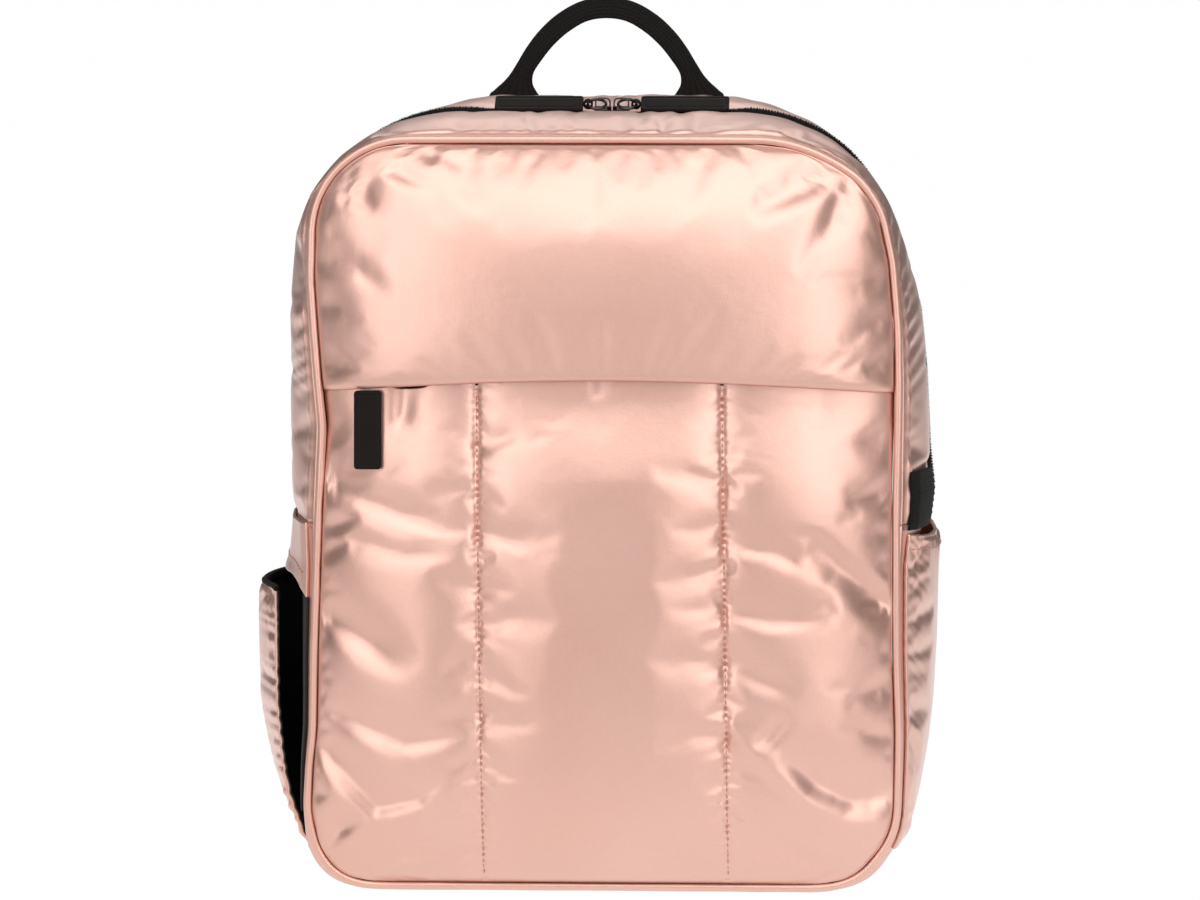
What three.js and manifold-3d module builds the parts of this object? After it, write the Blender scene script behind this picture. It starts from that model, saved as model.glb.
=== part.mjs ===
// A laptop backpack of lightly padded satin, standing on its base: a hollow body of sewn panels with a
// front zip pocket under a flap, two side pockets, a grab handle and two shoulder straps.
// Sizes are in millimetres, +Z is up, the front faces -Y and the origin is the centre of the flat base.
import * as THREE from "three";
import { mergeVertices } from "three/addons/utils/BufferGeometryUtils.js";
import Module from "manifold-3d";

const wasm = await Module();
wasm.setup();

// Body
const bodyHeight = 400;
const bodyHalfWidth = 150;
const bodyDepth = 150;
const clothThickness = 2.5;
const padThickness = 3;
const pipingRadius = 2.2;
const gap = 0.3;
const seamHeight = 190;
const frontPuff = 26;
const backPuff = 5;
const backPadThickness = 8;

// Main zip, over the top from side seam to side seam
const zipDeep = 0.5;
const zipHalfWidth = 4;
const zipThickness = 1.6;

// Front pocket under the flap
const flapEdgeHeight = 258;
const flapArch = 8;
const flapOverlap = 4;
const flapStepEdge = 3.6;
const flapStepMiddle = 7.5;
const pocketZipHeight = 16;
const pocketZipRecess = 10.5;
const channelHalfWidth = 63;
const channelPinch = 4;

// Zip sliders and their pulls
const sliderLength = 9;
const sliderWidth = 6;
const sliderThickness = 2.4;
const sliderNose = 2;
const bridgeWidth = 2;
const bridgeRise = 4.4;
const bridgeWall = 0.9;
const bridgeInset = 0.8;
const bridgeCorner = 1;
const bridgeSunk = 0.5;
const bridgeEyeLift = 0.2;
const ringRadius = 4.7;
const ringWire = 0.8;
const eyeRadius = 1.65;
const eyeWall = 0.9;
const eyeWidth = 3.2;
const ringDip = 0.15;
const tabLength = 46;
const tabWidth = 14;
const tabThickness = 2.2;
const tabLean = 20;
const pocketTabLength = 40;
const pocketTabInset = 29;
const pocketTabX = pocketTabInset - bodyHalfWidth;

// Side pockets: a bottle pocket on the right, and on the left a pouch that is open at its top and front
const pocketWall = 1.6;
const pocketFoot = 22;
const pocketStart = 6;
const rightHemHeight = 185;
const rightHemSag = 4;
const pouchTop = 152;
const pouchMouthY = -42;
const pouchMouthShare = 0.62;
const pouchFoot = 10;
const yokeFoot = 161;
const yokeFrontDrop = 10;
const yokeReach = 171;
const liningThickness = 1.2;
const liningEndY = 8;
const liningFoot = 40;
const sideClearance = 0.8;

// Side loop above the bottle pocket
const loopHeight = 30;
const loopLength = 46;
const loopFoot = 187;
const loopStand = 1.2;
const webThickness = 1.4;

// Grab handle
const handleX = -5.5;
const handleY = 68;
const handleHalfSpan = 62;
const handleRise = 53;
const handleThickness = 5;

// Shoulder straps
const strapPad = 9;
const webHalfWidth = 12.5;
const buckleRail = 3;
const buckleBar = 4;
const buckleSlot = 5;
const buckleThickness = 3.6;
const loopDrop = 14;
const tailLength = 62;
const anchorHeight = 52;
const anchorX = 118;
const anchorLength = 27;
const anchorHalfWidth = 14;
const anchorThickness = 2;

const satin = new THREE.MeshStandardMaterial({ color: 0xe3b5a4, roughness: 0.35, metalness: 0.6 });
const satinTrim = new THREE.MeshStandardMaterial({ color: 0xdfae9d, roughness: 0.4, metalness: 0.5 });
const webbing = new THREE.MeshStandardMaterial({ color: 0x17140f, roughness: 0.85, metalness: 0 });
const zipBlack = new THREE.MeshStandardMaterial({ color: 0x14120f, roughness: 0.6, metalness: 0 });
const tabBlack = new THREE.MeshStandardMaterial({ color: 0x1b1a18, roughness: 0.5, metalness: 0 });
const darkMetal = new THREE.MeshStandardMaterial({ color: 0x2a2826, roughness: 0.3, metalness: 1 });
const buckleBlack = new THREE.MeshStandardMaterial({ color: 0x161616, roughness: 0.45, metalness: 0 });

// Cross-sections of the body from front to back. deep is a share of the depth, top of the height, the
// corner radii of the half width, belly of the side swell, and lift of the piping's clearance.
const SECTIONS = [
  { deep: 0.0, top: 0.9675, topLeft: 0.32, topRight: 0.5, footLeft: 0.26, footRight: 0.3, belly: 0.0, lift: 1 },
  { deep: 0.08, top: 0.975, topLeft: 0.36, topRight: 0.5, footLeft: 0.22, footRight: 0.27, belly: 0.5, lift: 0 },
  { deep: 0.25, top: 0.985, topLeft: 0.42, topRight: 0.51, footLeft: 0.2, footRight: 0.24, belly: 0.88, lift: 0 },
  { deep: 0.47, top: 0.992, topLeft: 0.47, topRight: 0.55, footLeft: 0.2, footRight: 0.24, belly: 1.0, lift: 0 },
  { deep: 0.75, top: 0.998, topLeft: 0.56, topRight: 0.61, footLeft: 0.2, footRight: 0.24, belly: 0.85, lift: 0 },
  { deep: 0.92, top: 1.0, topLeft: 0.62, topRight: 0.66, footLeft: 0.23, footRight: 0.26, belly: 0.45, lift: 0 },
  { deep: 1.0, top: 1.0, topLeft: 0.64, topRight: 0.68, footLeft: 0.26, footRight: 0.28, belly: 0.0, lift: 1 },
];

// Side swell at mid depth. up is a share of the height, left and right of the half width.
const BELLY = [
  { up: 0.0, left: 0.04, right: 0.03 },
  { up: 0.09, left: 0.035, right: 0.012 },
  { up: 0.18, left: 0.045, right: 0.032 },
  { up: 0.42, left: 0.05, right: 0.038 },
  { up: 0.475, left: 0.085, right: 0.095 },
  { up: 0.51, left: 0.09, right: 0.107 },
  { up: 0.56, left: 0.09, right: 0.092 },
  { up: 0.665, left: 0.09, right: 0.077 },
  { up: 0.74, left: 0.09, right: 0.056 },
  { up: 0.795, left: 0.076, right: 0.012 },
  { up: 0.85, left: 0.062, right: -0.01 },
  { up: 0.905, left: 0.05, right: -0.01 },
  { up: 0.945, left: 0.025, right: 0 },
  { up: 1.0, left: 0, right: 0 },
];

// How the slumped front edge strays from straight sides. left and right are shares of the half width.
const SIDE_WAVE = [
  { up: 0.0, left: 0.06, right: 0.02 },
  { up: 0.015, left: 0.055, right: 0.02 },
  { up: 0.043, left: 0.037, right: 0 },
  { up: 0.08, left: 0.022, right: 0 },
  { up: 0.11, left: 0.027, right: -0.004 },
  { up: 0.16, left: 0.02, right: -0.002 },
  { up: 0.21, left: 0.006, right: -0.001 },
  { up: 0.31, left: 0.001, right: -0.011 },
  { up: 0.49, left: -0.016, right: -0.014 },
  { up: 0.6, left: -0.031, right: -0.008 },
  { up: 0.66, left: -0.016, right: -0.007 },
  { up: 0.725, left: -0.003, right: -0.01 },
  { up: 0.79, left: 0.008, right: -0.024 },
  { up: 0.84, left: 0.004, right: -0.02 },
  { up: 0.88, left: 0.003, right: 0.003 },
  { up: 0.92, left: 0.003, right: 0.016 },
  { up: 0.945, left: 0, right: 0.003 },
  { up: 0.97, left: 0, right: 0 },
];

// How far each side pocket stands out at mid depth. up is a share of the height, out of the half width.
const RIGHT_POCKET = [
  { up: 0.055, out: 1.0 },
  { up: 0.1, out: 1.05 },
  { up: 0.125, out: 1.067 },
  { up: 0.18, out: 1.093 },
  { up: 0.23, out: 1.108 },
  { up: 0.31, out: 1.119 },
  { up: 0.4, out: 1.124 },
  { up: 0.45, out: 1.132 },
];
const LEFT_POCKET = [
  { up: 0.025, out: 0.99 },
  { up: 0.04, out: 1.03 },
  { up: 0.055, out: 1.065 },
  { up: 0.095, out: 1.125 },
  { up: 0.125, out: 1.158 },
  { up: 0.155, out: 1.18 },
  { up: 0.2, out: 1.205 },
  { up: 0.235, out: 1.218 },
  { up: 0.38, out: 1.222 },
];

// The grab handle's centre line and width, from its left foot to its crown. along is a share of half the
// span, up of the rise, and wide and thick are shares of the foot width and of the thickness.
const handleFootWidth = 31;
const HANDLE = [
  { along: 0.77, up: 0.0, wide: 1.0, thick: 0.5 },
  { along: 0.76, up: 0.08, wide: 0.7, thick: 0.6 },
  { along: 0.74, up: 0.18, wide: 0.44, thick: 0.8 },
  { along: 0.7, up: 0.3, wide: 0.33, thick: 1 },
  { along: 0.62, up: 0.45, wide: 0.34, thick: 1 },
  { along: 0.52, up: 0.6, wide: 0.35, thick: 1 },
  { along: 0.38, up: 0.75, wide: 0.36, thick: 1 },
  { along: 0.2, up: 0.87, wide: 0.36, thick: 1 },
  { along: 0.0, up: 0.91, wide: 0.37, thick: 1 },
];

// The padded part of a shoulder strap, from its sewn top end down. up is a share of the height, out of
// the half width, and off and wide are shares of the strap's width.
const strapWidth = 62;
const STRAP = [
  { up: 0.96, out: 0.28, off: 0.0, wide: 0.94, thick: 0.6 },
  { up: 0.93, out: 0.285, off: 0.02, wide: 0.96, thick: 1 },
  { up: 0.87, out: 0.3, off: 0.08, wide: 1.0, thick: 1 },
  { up: 0.79, out: 0.33, off: 0.16, wide: 1.02, thick: 1 },
  { up: 0.7, out: 0.38, off: 0.21, wide: 1.0, thick: 1 },
  { up: 0.6, out: 0.44, off: 0.22, wide: 0.94, thick: 1 },
  { up: 0.5, out: 0.52, off: 0.2, wide: 0.82, thick: 1 },
  { up: 0.43, out: 0.585, off: 0.17, wide: 0.66, thick: 0.9 },
  { up: 0.39, out: 0.62, off: 0.15, wide: 0.46, thick: 0.78 },
];

// The front panels' main folds, as valleys between two places. The places are shares of the half width and
// of the height, deep is a share of the front's swell and wide of the half width.
const FOLDS = [
  { fromX: -0.85, fromUp: 0.937, toX: -0.635, toUp: 0.907, deep: 0.13, wide: 0.055 },
  { fromX: -0.93, fromUp: 0.909, toX: -0.745, toUp: 0.872, deep: 0.1, wide: 0.05 },
  { fromX: 0.795, fromUp: 0.926, toX: 0.59, toUp: 0.89, deep: 0.13, wide: 0.06 },
  { fromX: 0.84, fromUp: 0.896, toX: 0.735, toUp: 0.832, deep: 0.09, wide: 0.05 },
  { fromX: -0.96, fromUp: 0.811, toX: -0.77, toUp: 0.78, deep: 0.09, wide: 0.05 },
  { fromX: -0.96, fromUp: 0.718, toX: -0.83, toUp: 0.71, deep: 0.07, wide: 0.05 },
  { fromX: -0.92, fromUp: 0.525, toX: -0.7, toUp: 0.483, deep: 0.13, wide: 0.06 },
  { fromX: -0.7, fromUp: 0.483, toX: -0.48, toUp: 0.469, deep: 0.11, wide: 0.05 },
  { fromX: -0.97, fromUp: 0.36, toX: -0.69, toUp: 0.295, deep: 0.12, wide: 0.055 },
  { fromX: -0.93, fromUp: 0.19, toX: -0.78, toUp: 0.114, deep: 0.12, wide: 0.055 },
  { fromX: -0.78, fromUp: 0.114, toX: -0.55, toUp: 0.15, deep: 0.1, wide: 0.055 },
  { fromX: -0.84, fromUp: 0.035, toX: -0.45, toUp: 0.064, deep: 0.1, wide: 0.05 },
  { fromX: 0.727, fromUp: 0.448, toX: 0.94, toUp: 0.393, deep: 0.11, wide: 0.055 },
  { fromX: 0.6, fromUp: 0.184, toX: 0.755, toUp: 0.131, deep: 0.13, wide: 0.055 },
  { fromX: 0.755, fromUp: 0.131, toX: 0.95, toUp: 0.113, deep: 0.12, wide: 0.055 },
  { fromX: 0.567, fromUp: 0.073, toX: 0.83, toUp: 0.02, deep: 0.1, wide: 0.05 },
];

const SEGMENTS = 52;
const PIPING_SIDES = 6;

const mix = (a, b, t) => a + (b - a) * t;
const clamp = (value) => Math.min(1, Math.max(0, value));
const ease = (t) => t * t * (3 - 2 * t);

// A column of a table read at a place between its rows.
function follow(table, key, column, at) {
  const last = table.length - 1;
  if (at <= table[0][key]) return table[0][column];
  if (at >= table[last][key]) return table[last][column];
  const next = table.findIndex((row) => row[key] > at);
  const [low, high] = [table[next - 1], table[next]];
  return mix(low[column], high[column], (at - low[key]) / (high[key] - low[key]));
}

function sectionAt(deep) {
  const columns = Object.keys(SECTIONS[0]);
  return Object.fromEntries(columns.map((name) => [name, follow(SECTIONS, "deep", name, deep)]));
}

const depthY = (deep) => (deep - 0.5) * bodyDepth;
const deepAt = (y) => y / bodyDepth + 0.5;

// How far the side at height z stands outside a straight side, in one section.
function sideSwell(section, z, side) {
  const column = side < 0 ? "left" : "right";
  const wave = follow(SIDE_WAVE, "up", column, z / bodyHeight);
  const belly = follow(BELLY, "up", column, z / bodyHeight);
  const fade = Math.max(0, 1 - 2 * section.deep) ** 2;
  return (wave * fade + belly * section.belly) * bodyHalfWidth;
}

// The size of a section's outline, drawn in by inset.
function outlineSize(section, inset) {
  return {
    half: bodyHalfWidth - inset,
    top: section.top * bodyHeight - inset,
    foot: section.lift * (pipingRadius + gap) + clothThickness / 2 * (1 - section.lift) + inset,
    topLeft: section.topLeft * bodyHalfWidth - inset,
    topRight: section.topRight * bodyHalfWidth - inset,
    footLeft: section.footLeft * bodyHalfWidth - inset,
    footRight: section.footRight * bodyHalfWidth - inset,
  };
}

// The x of a section's outline on one side at height z.
function outlineX(section, z, side, inset = 0) {
  const size = outlineSize(section, inset);
  const topRadius = side < 0 ? size.topLeft : size.topRight;
  const footRadius = side < 0 ? size.footLeft : size.footRight;
  const over = Math.max(0, z - (size.top - topRadius));
  const under = Math.max(0, size.foot + footRadius - z);
  const radius = over > 0 ? topRadius : footRadius;
  const reach = Math.min(radius, Math.max(over, under));
  const x = size.half - radius + Math.sqrt(radius ** 2 - reach ** 2);
  return side * (x + sideSwell(section, z, side));
}

// Points of one stretch of a section's outline: the top stretch from the left seam over to the right
// seam, or the foot stretch from the right seam under to the left seam.
function outlinePoints(section, stretch, inset, segments) {
  const size = outlineSize(section, inset);
  const path = new THREE.Path();
  if (stretch === "top") {
    const seam = seamHeight + gap / 2;
    path.moveTo(-size.half, seam);
    path.lineTo(-size.half, size.top - size.topLeft);
    path.absarc(size.topLeft - size.half, size.top - size.topLeft, size.topLeft, Math.PI, Math.PI / 2, true);
    path.lineTo(size.half - size.topRight, size.top);
    path.absarc(size.half - size.topRight, size.top - size.topRight, size.topRight, Math.PI / 2, 0, true);
    path.lineTo(size.half, seam);
  } else {
    const seam = seamHeight - gap / 2;
    path.moveTo(size.half, seam);
    path.lineTo(size.half, size.foot + size.footRight);
    path.absarc(size.half - size.footRight, size.foot + size.footRight, size.footRight, 0, -Math.PI / 2, true);
    path.lineTo(size.footLeft - size.half, size.foot);
    path.absarc(size.footLeft - size.half, size.foot + size.footLeft, size.footLeft, -Math.PI / 2, -Math.PI, true);
    path.lineTo(-size.half, seam);
  }
  return path.getSpacedPoints(segments).map(({ x, y: z }) => {
    const side = Math.sign(x) || 1;
    return { x: x + side * sideSwell(section, z, side), z };
  });
}

// Turns a list of points and triangles into a geometry whose faces point out.
function geometryOf(points, triangles) {
  const geometry = new THREE.BufferGeometry();
  geometry.setAttribute("position", new THREE.Float32BufferAttribute(points.flat(), 3));
  let volume = 0;
  for (const [a, b, c] of triangles) {
    const [p, q, r] = [points[a], points[b], points[c]].map((at) => new THREE.Vector3(...at));
    volume += p.dot(q.cross(r));
  }
  const facing = volume < 0 ? triangles.map(([a, b, c]) => [a, c, b]) : triangles;
  geometry.setIndex(facing.flat());
  return geometry;
}

// A closed sheet of cloth: outer(row, column) and inner(row, column) give the points of its two faces.
function sheet(rows, columns, outer, inner) {
  const points = [];
  const triangles = [];
  const across = columns + 1;
  for (const face of [outer, inner])
    for (let i = 0; i <= rows; i += 1) for (let j = 0; j <= columns; j += 1) points.push(face(i, j));
  const at = (side, i, j) => side * (rows + 1) * across + i * across + j;
  const quad = (a, b, c, d) => triangles.push([a, b, c], [a, c, d]);
  for (let i = 0; i < rows; i += 1)
    for (let j = 0; j < columns; j += 1) {
      quad(at(0, i, j), at(0, i, j + 1), at(0, i + 1, j + 1), at(0, i + 1, j));
      quad(at(1, i, j), at(1, i + 1, j), at(1, i + 1, j + 1), at(1, i, j + 1));
    }
  for (let i = 0; i < rows; i += 1) {
    quad(at(0, i, 0), at(0, i + 1, 0), at(1, i + 1, 0), at(1, i, 0));
    quad(at(0, i + 1, columns), at(0, i, columns), at(1, i, columns), at(1, i + 1, columns));
  }
  for (let j = 0; j < columns; j += 1) {
    quad(at(0, 0, j + 1), at(0, 0, j), at(1, 0, j), at(1, 0, j + 1));
    quad(at(0, rows, j), at(0, rows, j + 1), at(1, rows, j + 1), at(1, rows, j));
  }
  return geometryOf(points, triangles);
}

// A closed ring of cord along a loop of centre points, with round sections in the plane that holds Y.
function cordRing(centres, radius) {
  const points = [];
  const triangles = [];
  const count = centres.length;
  centres.forEach((centre, i) => {
    const before = centres[(i + count - 1) % count];
    const after = centres[(i + 1) % count];
    const out = new THREE.Vector3(after.z - before.z, 0, before.x - after.x).normalize();
    for (let k = 0; k < PIPING_SIDES; k += 1) {
      const turn = ((k + 0.5) * 2 * Math.PI) / PIPING_SIDES;
      points.push([
        centre.x + out.x * radius * Math.cos(turn),
        centre.y + radius * Math.sin(turn),
        centre.z + out.z * radius * Math.cos(turn),
      ]);
    }
  });
  for (let i = 0; i < count; i += 1)
    for (let k = 0; k < PIPING_SIDES; k += 1) {
      const here = i * PIPING_SIDES;
      const there = ((i + 1) % count) * PIPING_SIDES;
      const next = (k + 1) % PIPING_SIDES;
      triangles.push([here + k, there + k, there + next], [here + k, there + next, here + next]);
    }
  return geometryOf(points, triangles);
}

// A strip through stations, each with a centre, a half width and a half thickness. The profile holds the
// thickness shares across the strip.
const FLAT_PROFILE = [1, 1];
const SOFT_PROFILE = [0.55, 1, 1, 0.55];
function strip(stations, profile) {
  const columns = profile.length - 1;
  const face = (sign) => (i, j) => {
    const { at, across, through } = stations[i];
    const place = (2 * j) / columns - 1;
    return at.clone().addScaledVector(across, place).addScaledVector(through, sign * profile[j]).toArray();
  };
  return sheet(stations.length - 1, columns, face(1), face(-1));
}

// Stations along a line of points. Each row has a point, a half width and a half thickness, and facing is
// the direction that the strip's broad face looks in where the line runs square to it.
function stationsAlong(rows, facing) {
  return rows.map(({ at, half, thick }, i) => {
    const before = rows[Math.max(0, i - 1)].at;
    const after = rows[Math.min(rows.length - 1, i + 1)].at;
    const along = after.clone().sub(before).normalize();
    const across = along.clone().cross(facing).normalize();
    const through = across.clone().cross(along).normalize();
    return { at, across: across.multiplyScalar(half), through: through.multiplyScalar(thick) };
  });
}

function solidOf(geometry) {
  const bare = geometry.index ? geometry.toNonIndexed() : geometry.clone();
  bare.deleteAttribute("normal");
  bare.deleteAttribute("uv");
  const merged = mergeVertices(bare, 1e-4);
  return new wasm.Manifold(
    new wasm.Mesh({
      numProp: 3,
      vertProperties: merged.attributes.position.array,
      triVerts: new Uint32Array(merged.index.array),
    }),
  );
}

function joined(...geometries) {
  const [first, ...others] = geometries.map(solidOf);
  const mesh = others.reduce((whole, piece) => whole.add(piece), first).getMesh();
  const geometry = new THREE.BufferGeometry();
  geometry.setAttribute("position", new THREE.BufferAttribute(mesh.vertProperties, 3));
  geometry.setIndex(new THREE.BufferAttribute(mesh.triVerts, 1));
  return geometry;
}

const backpack = new THREE.Group();

function add(name, geometry, material, parent = backpack) {
  const mesh = new THREE.Mesh(geometry, material);
  mesh.name = name;
  parent.add(mesh);
  return mesh;
}

// A stretch of the gusset between two depths, as a wall that follows the body's sections.
function gussetWall(stretch, fromY, toY, thickness) {
  const from = deepAt(fromY);
  const to = deepAt(toY);
  const inner = SECTIONS.map((row) => row.deep).filter((deep) => deep > from + 0.02 && deep < to - 0.02);
  const depths = [from, ...inner, to];
  const face = (inset) => {
    const rows = depths.map((deep) => outlinePoints(sectionAt(deep), stretch, inset, SEGMENTS));
    return (i, j) => [rows[i][j].x, depthY(depths[i]), rows[i][j].z];
  };
  return sheet(depths.length - 1, SEGMENTS, face(-thickness / 2), face(thickness / 2));
}

const frontEdgeY = depthY(0) + pipingRadius + gap;
const backEdgeY = depthY(1) - pipingRadius - gap;
const zipY = depthY(zipDeep);

function addGusset() {
  add("gusset_lower", gussetWall("foot", frontEdgeY, backEdgeY, clothThickness), satin);
  add("gusset_front", gussetWall("top", frontEdgeY, zipY - zipHalfWidth - gap, clothThickness), satin);
  add("gusset_back", gussetWall("top", zipY + zipHalfWidth + gap, backEdgeY, clothThickness), satin);
  add("main_zip_tape", gussetWall("top", zipY - zipHalfWidth, zipY + zipHalfWidth, zipThickness), zipBlack);
}

function addPiping(name, deep) {
  const section = sectionAt(deep);
  const y = depthY(deep);
  const over = outlinePoints(section, "top", 0, SEGMENTS);
  const under = outlinePoints(section, "foot", 0, SEGMENTS - 4);
  const loop = [...over.slice(0, -1), ...under.slice(0, -1)];
  add(name, cordRing(loop.map(({ x, z }) => ({ x, y, z })), pipingRadius), satinTrim);
}

const panelInset = pipingRadius + 2 * gap;
const frontSection = sectionAt(0);
const backSection = sectionAt(1);
const panelTop = frontSection.top * bodyHeight - panelInset;
const panelFoot = outlineSize(frontSection, panelInset).foot;

// How full a panel is at a place: none at its edges, whole over the middle. The shares run from -1 to 1.
function fullness(across, up) {
  const sideways = 1 - Math.min(1, Math.abs(across)) ** 3;
  const upright = 1 - Math.min(1, Math.abs(up)) ** 4;
  return (sideways * upright) ** 0.6;
}

// The share across the front panel, from -1 at its left edge to 1 at its right, at a point.
function frontShares(x, z) {
  const left = outlineX(frontSection, z, -1, panelInset);
  const right = outlineX(frontSection, z, 1, panelInset);
  const middle = (panelTop + panelFoot) / 2;
  return [(2 * x - left - right) / (right - left), (z - middle) / (panelTop - middle)];
}

// How far the folds sink the front at a place.
function foldDepth(x, z) {
  let depth = 0;
  for (const { fromX, fromUp, toX, toUp, deep, wide } of FOLDS) {
    const from = new THREE.Vector2(fromX * bodyHalfWidth, fromUp * bodyHeight);
    const line = new THREE.Vector2(toX * bodyHalfWidth, toUp * bodyHeight).sub(from);
    const place = new THREE.Vector2(x, z).sub(from);
    const off = place.sub(line.multiplyScalar(clamp(place.dot(line) / line.lengthSq()))).length();
    depth += deep * frontPuff * Math.exp(-((off / (wide * bodyHalfWidth)) ** 2));
  }
  return depth;
}

function frontFace(x, z) {
  const full = fullness(...frontShares(x, z));
  return depthY(0) - padThickness / 2 - frontPuff * full + foldDepth(x, z) * clamp(2.5 * full);
}
const flapEdge = (x) => flapEdgeHeight + flapArch * (1 - (x / bodyHalfWidth) ** 2);
const pocketTop = (x) => flapEdge(x) + flapOverlap;

// The set-back of the pocket panel behind the flap, and the pinch of its two sewn channels.
function pocketFace(x, z) {
  const [across, up] = frontShares(x, z);
  const step = mix(flapStepEdge, flapStepMiddle, clamp((1 - Math.abs(across)) * 4));
  const below = clamp((pocketTop(x) - 2 * flapOverlap - z) / 60);
  const seams = [-channelHalfWidth, channelHalfWidth].map((seam) => Math.exp(-(((x - seam) / 9) ** 2)));
  const pinch = channelPinch * Math.max(...seams) * fullness(across, up);
  return frontFace(x, z) + step * (1 - ease(below)) + pinch;
}

// Heights of a panel's rows, closer together in its rounded corners.
function rowHeights(low, high, lowRadius, highRadius) {
  const steps = 4;
  const curl = (k) => 1 - Math.cos((k * Math.PI) / 2 / steps);
  const lows = lowRadius ? [0, 1, 2, 3].map((k) => low + lowRadius * curl(k)) : [];
  const highs = highRadius ? [3, 2, 1, 0].map((k) => high - highRadius * curl(k)) : [];
  const from = low + lowRadius;
  const to = high - highRadius;
  const count = Math.max(2, Math.round((to - from) / 13));
  const middle = Array.from({ length: count + 1 }, (_, k) => mix(from, to, k / count));
  return [...lows, ...middle, ...highs];
}

// Column shares across a panel, closer together at its edges.
const panelColumns = 30;
const columnShare = (j) => j / panelColumns - Math.sin((2 * Math.PI * j) / panelColumns) * 0.09;

function addFrontPanels() {
  const cornerRadius = bodyHalfWidth * frontSection.topRight - panelInset;
  const flapRows = rowHeights(flapEdgeHeight, panelTop, 0, cornerRadius);
  const flapPoint = (offset) => (i, j) => {
    const low = flapRows[i];
    const left = outlineX(frontSection, low, -1, panelInset);
    const right = outlineX(frontSection, low, 1, panelInset);
    const x = mix(left, right, columnShare(j));
    const lift = (flapEdge(x) - flapEdgeHeight) * (1 - (low - flapEdgeHeight) / (panelTop - flapEdgeHeight));
    return [x, frontFace(x, low + lift) + offset, low + lift];
  };
  add("front_flap_panel", sheet(flapRows.length - 1, panelColumns, flapPoint(0), flapPoint(padThickness)), satin);

  const footRadius = bodyHalfWidth * frontSection.footRight - panelInset;
  const pocketRows = rowHeights(panelFoot, flapEdgeHeight + flapOverlap, footRadius, 0);
  const pocketPoint = (offset) => (i, j) => {
    const low = pocketRows[i];
    const left = outlineX(frontSection, low, -1, panelInset);
    const right = outlineX(frontSection, low, 1, panelInset);
    const x = mix(left, right, columnShare(j));
    const rise = (low - panelFoot) / (flapEdgeHeight + flapOverlap - panelFoot);
    const z = low + (pocketTop(x) - flapEdgeHeight - flapOverlap) * rise;
    return [x, pocketFace(x, z) + offset, z];
  };
  const pocketRowsCount = pocketRows.length - 1;
  add("front_pocket_panel", sheet(pocketRowsCount, panelColumns, pocketPoint(0), pocketPoint(padThickness)), satin);

  const reach = 0.93;
  const tapePoint = (offset) => (i, j) => {
    const x = mix(-reach, reach, j / panelColumns) * (bodyHalfWidth - panelInset);
    const z = pocketTop(x) + gap + i * pocketZipHeight;
    const recess = Math.min(pocketZipRecess, frontPuff * fullness(...frontShares(x, z)) + flapStepEdge + gap);
    return [x, frontFace(x, z) + recess + offset, z];
  };
  add("pocket_zip_tape", sheet(1, panelColumns, tapePoint(0), tapePoint(zipThickness)), zipBlack);
}

const backFace = (x, z) => {
  const across = x / (bodyHalfWidth - panelInset);
  const up = (2 * z) / bodyHeight - 1;
  return depthY(1) + backPadThickness / 2 + backPuff * fullness(across, up);
};

function addBackPanel() {
  const size = outlineSize(backSection, panelInset);
  const rows = rowHeights(size.foot, size.top, size.footRight, size.topRight);
  const columns = 10;
  const point = (offset) => (i, j) => {
    const z = rows[i];
    const x = mix(outlineX(backSection, z, -1, panelInset), outlineX(backSection, z, 1, panelInset), j / columns);
    return [x, backFace(x, z) + offset, z];
  };
  add("back_panel", sheet(rows.length - 1, columns, point(0), point(-backPadThickness)), satin);
}

// A zip slider with a bridge over it, its length along X and its underside at z = 0.
function sliderShape() {
  const [halfLength, halfWidth] = [sliderLength / 2, sliderWidth / 2];
  const plan = new THREE.Shape();
  plan.moveTo(-halfLength, -halfWidth);
  plan.lineTo(halfLength - sliderNose, -halfWidth);
  plan.lineTo(halfLength, -halfWidth + sliderNose);
  plan.lineTo(halfLength, halfWidth - sliderNose);
  plan.lineTo(halfLength - sliderNose, halfWidth);
  plan.lineTo(-halfLength, halfWidth);
  const body = new THREE.ExtrudeGeometry(plan, { depth: sliderThickness, bevelEnabled: false });

  const side = new THREE.Shape();
  const halfBridge = halfLength - bridgeInset;
  const crown = sliderThickness + bridgeRise;
  side.moveTo(-halfBridge, sliderThickness - bridgeSunk);
  side.lineTo(halfBridge, sliderThickness - bridgeSunk);
  side.lineTo(halfBridge, crown - bridgeCorner);
  side.lineTo(halfBridge - bridgeCorner, crown);
  side.lineTo(bridgeCorner - halfBridge, crown);
  side.lineTo(-halfBridge, crown - bridgeCorner);
  const eye = new THREE.Path();
  const halfEye = halfBridge - bridgeWall;
  eye.moveTo(-halfEye, sliderThickness + bridgeEyeLift);
  eye.lineTo(-halfEye, crown - bridgeWall);
  eye.lineTo(halfEye, crown - bridgeWall);
  eye.lineTo(halfEye, sliderThickness + bridgeEyeLift);
  side.holes.push(eye);
  const bridge = new THREE.ExtrudeGeometry(side, { depth: bridgeWidth, bevelEnabled: false });
  bridge.translate(0, 0, -bridgeWidth / 2).rotateX(Math.PI / 2);
  return joined(body, bridge);
}

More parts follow.
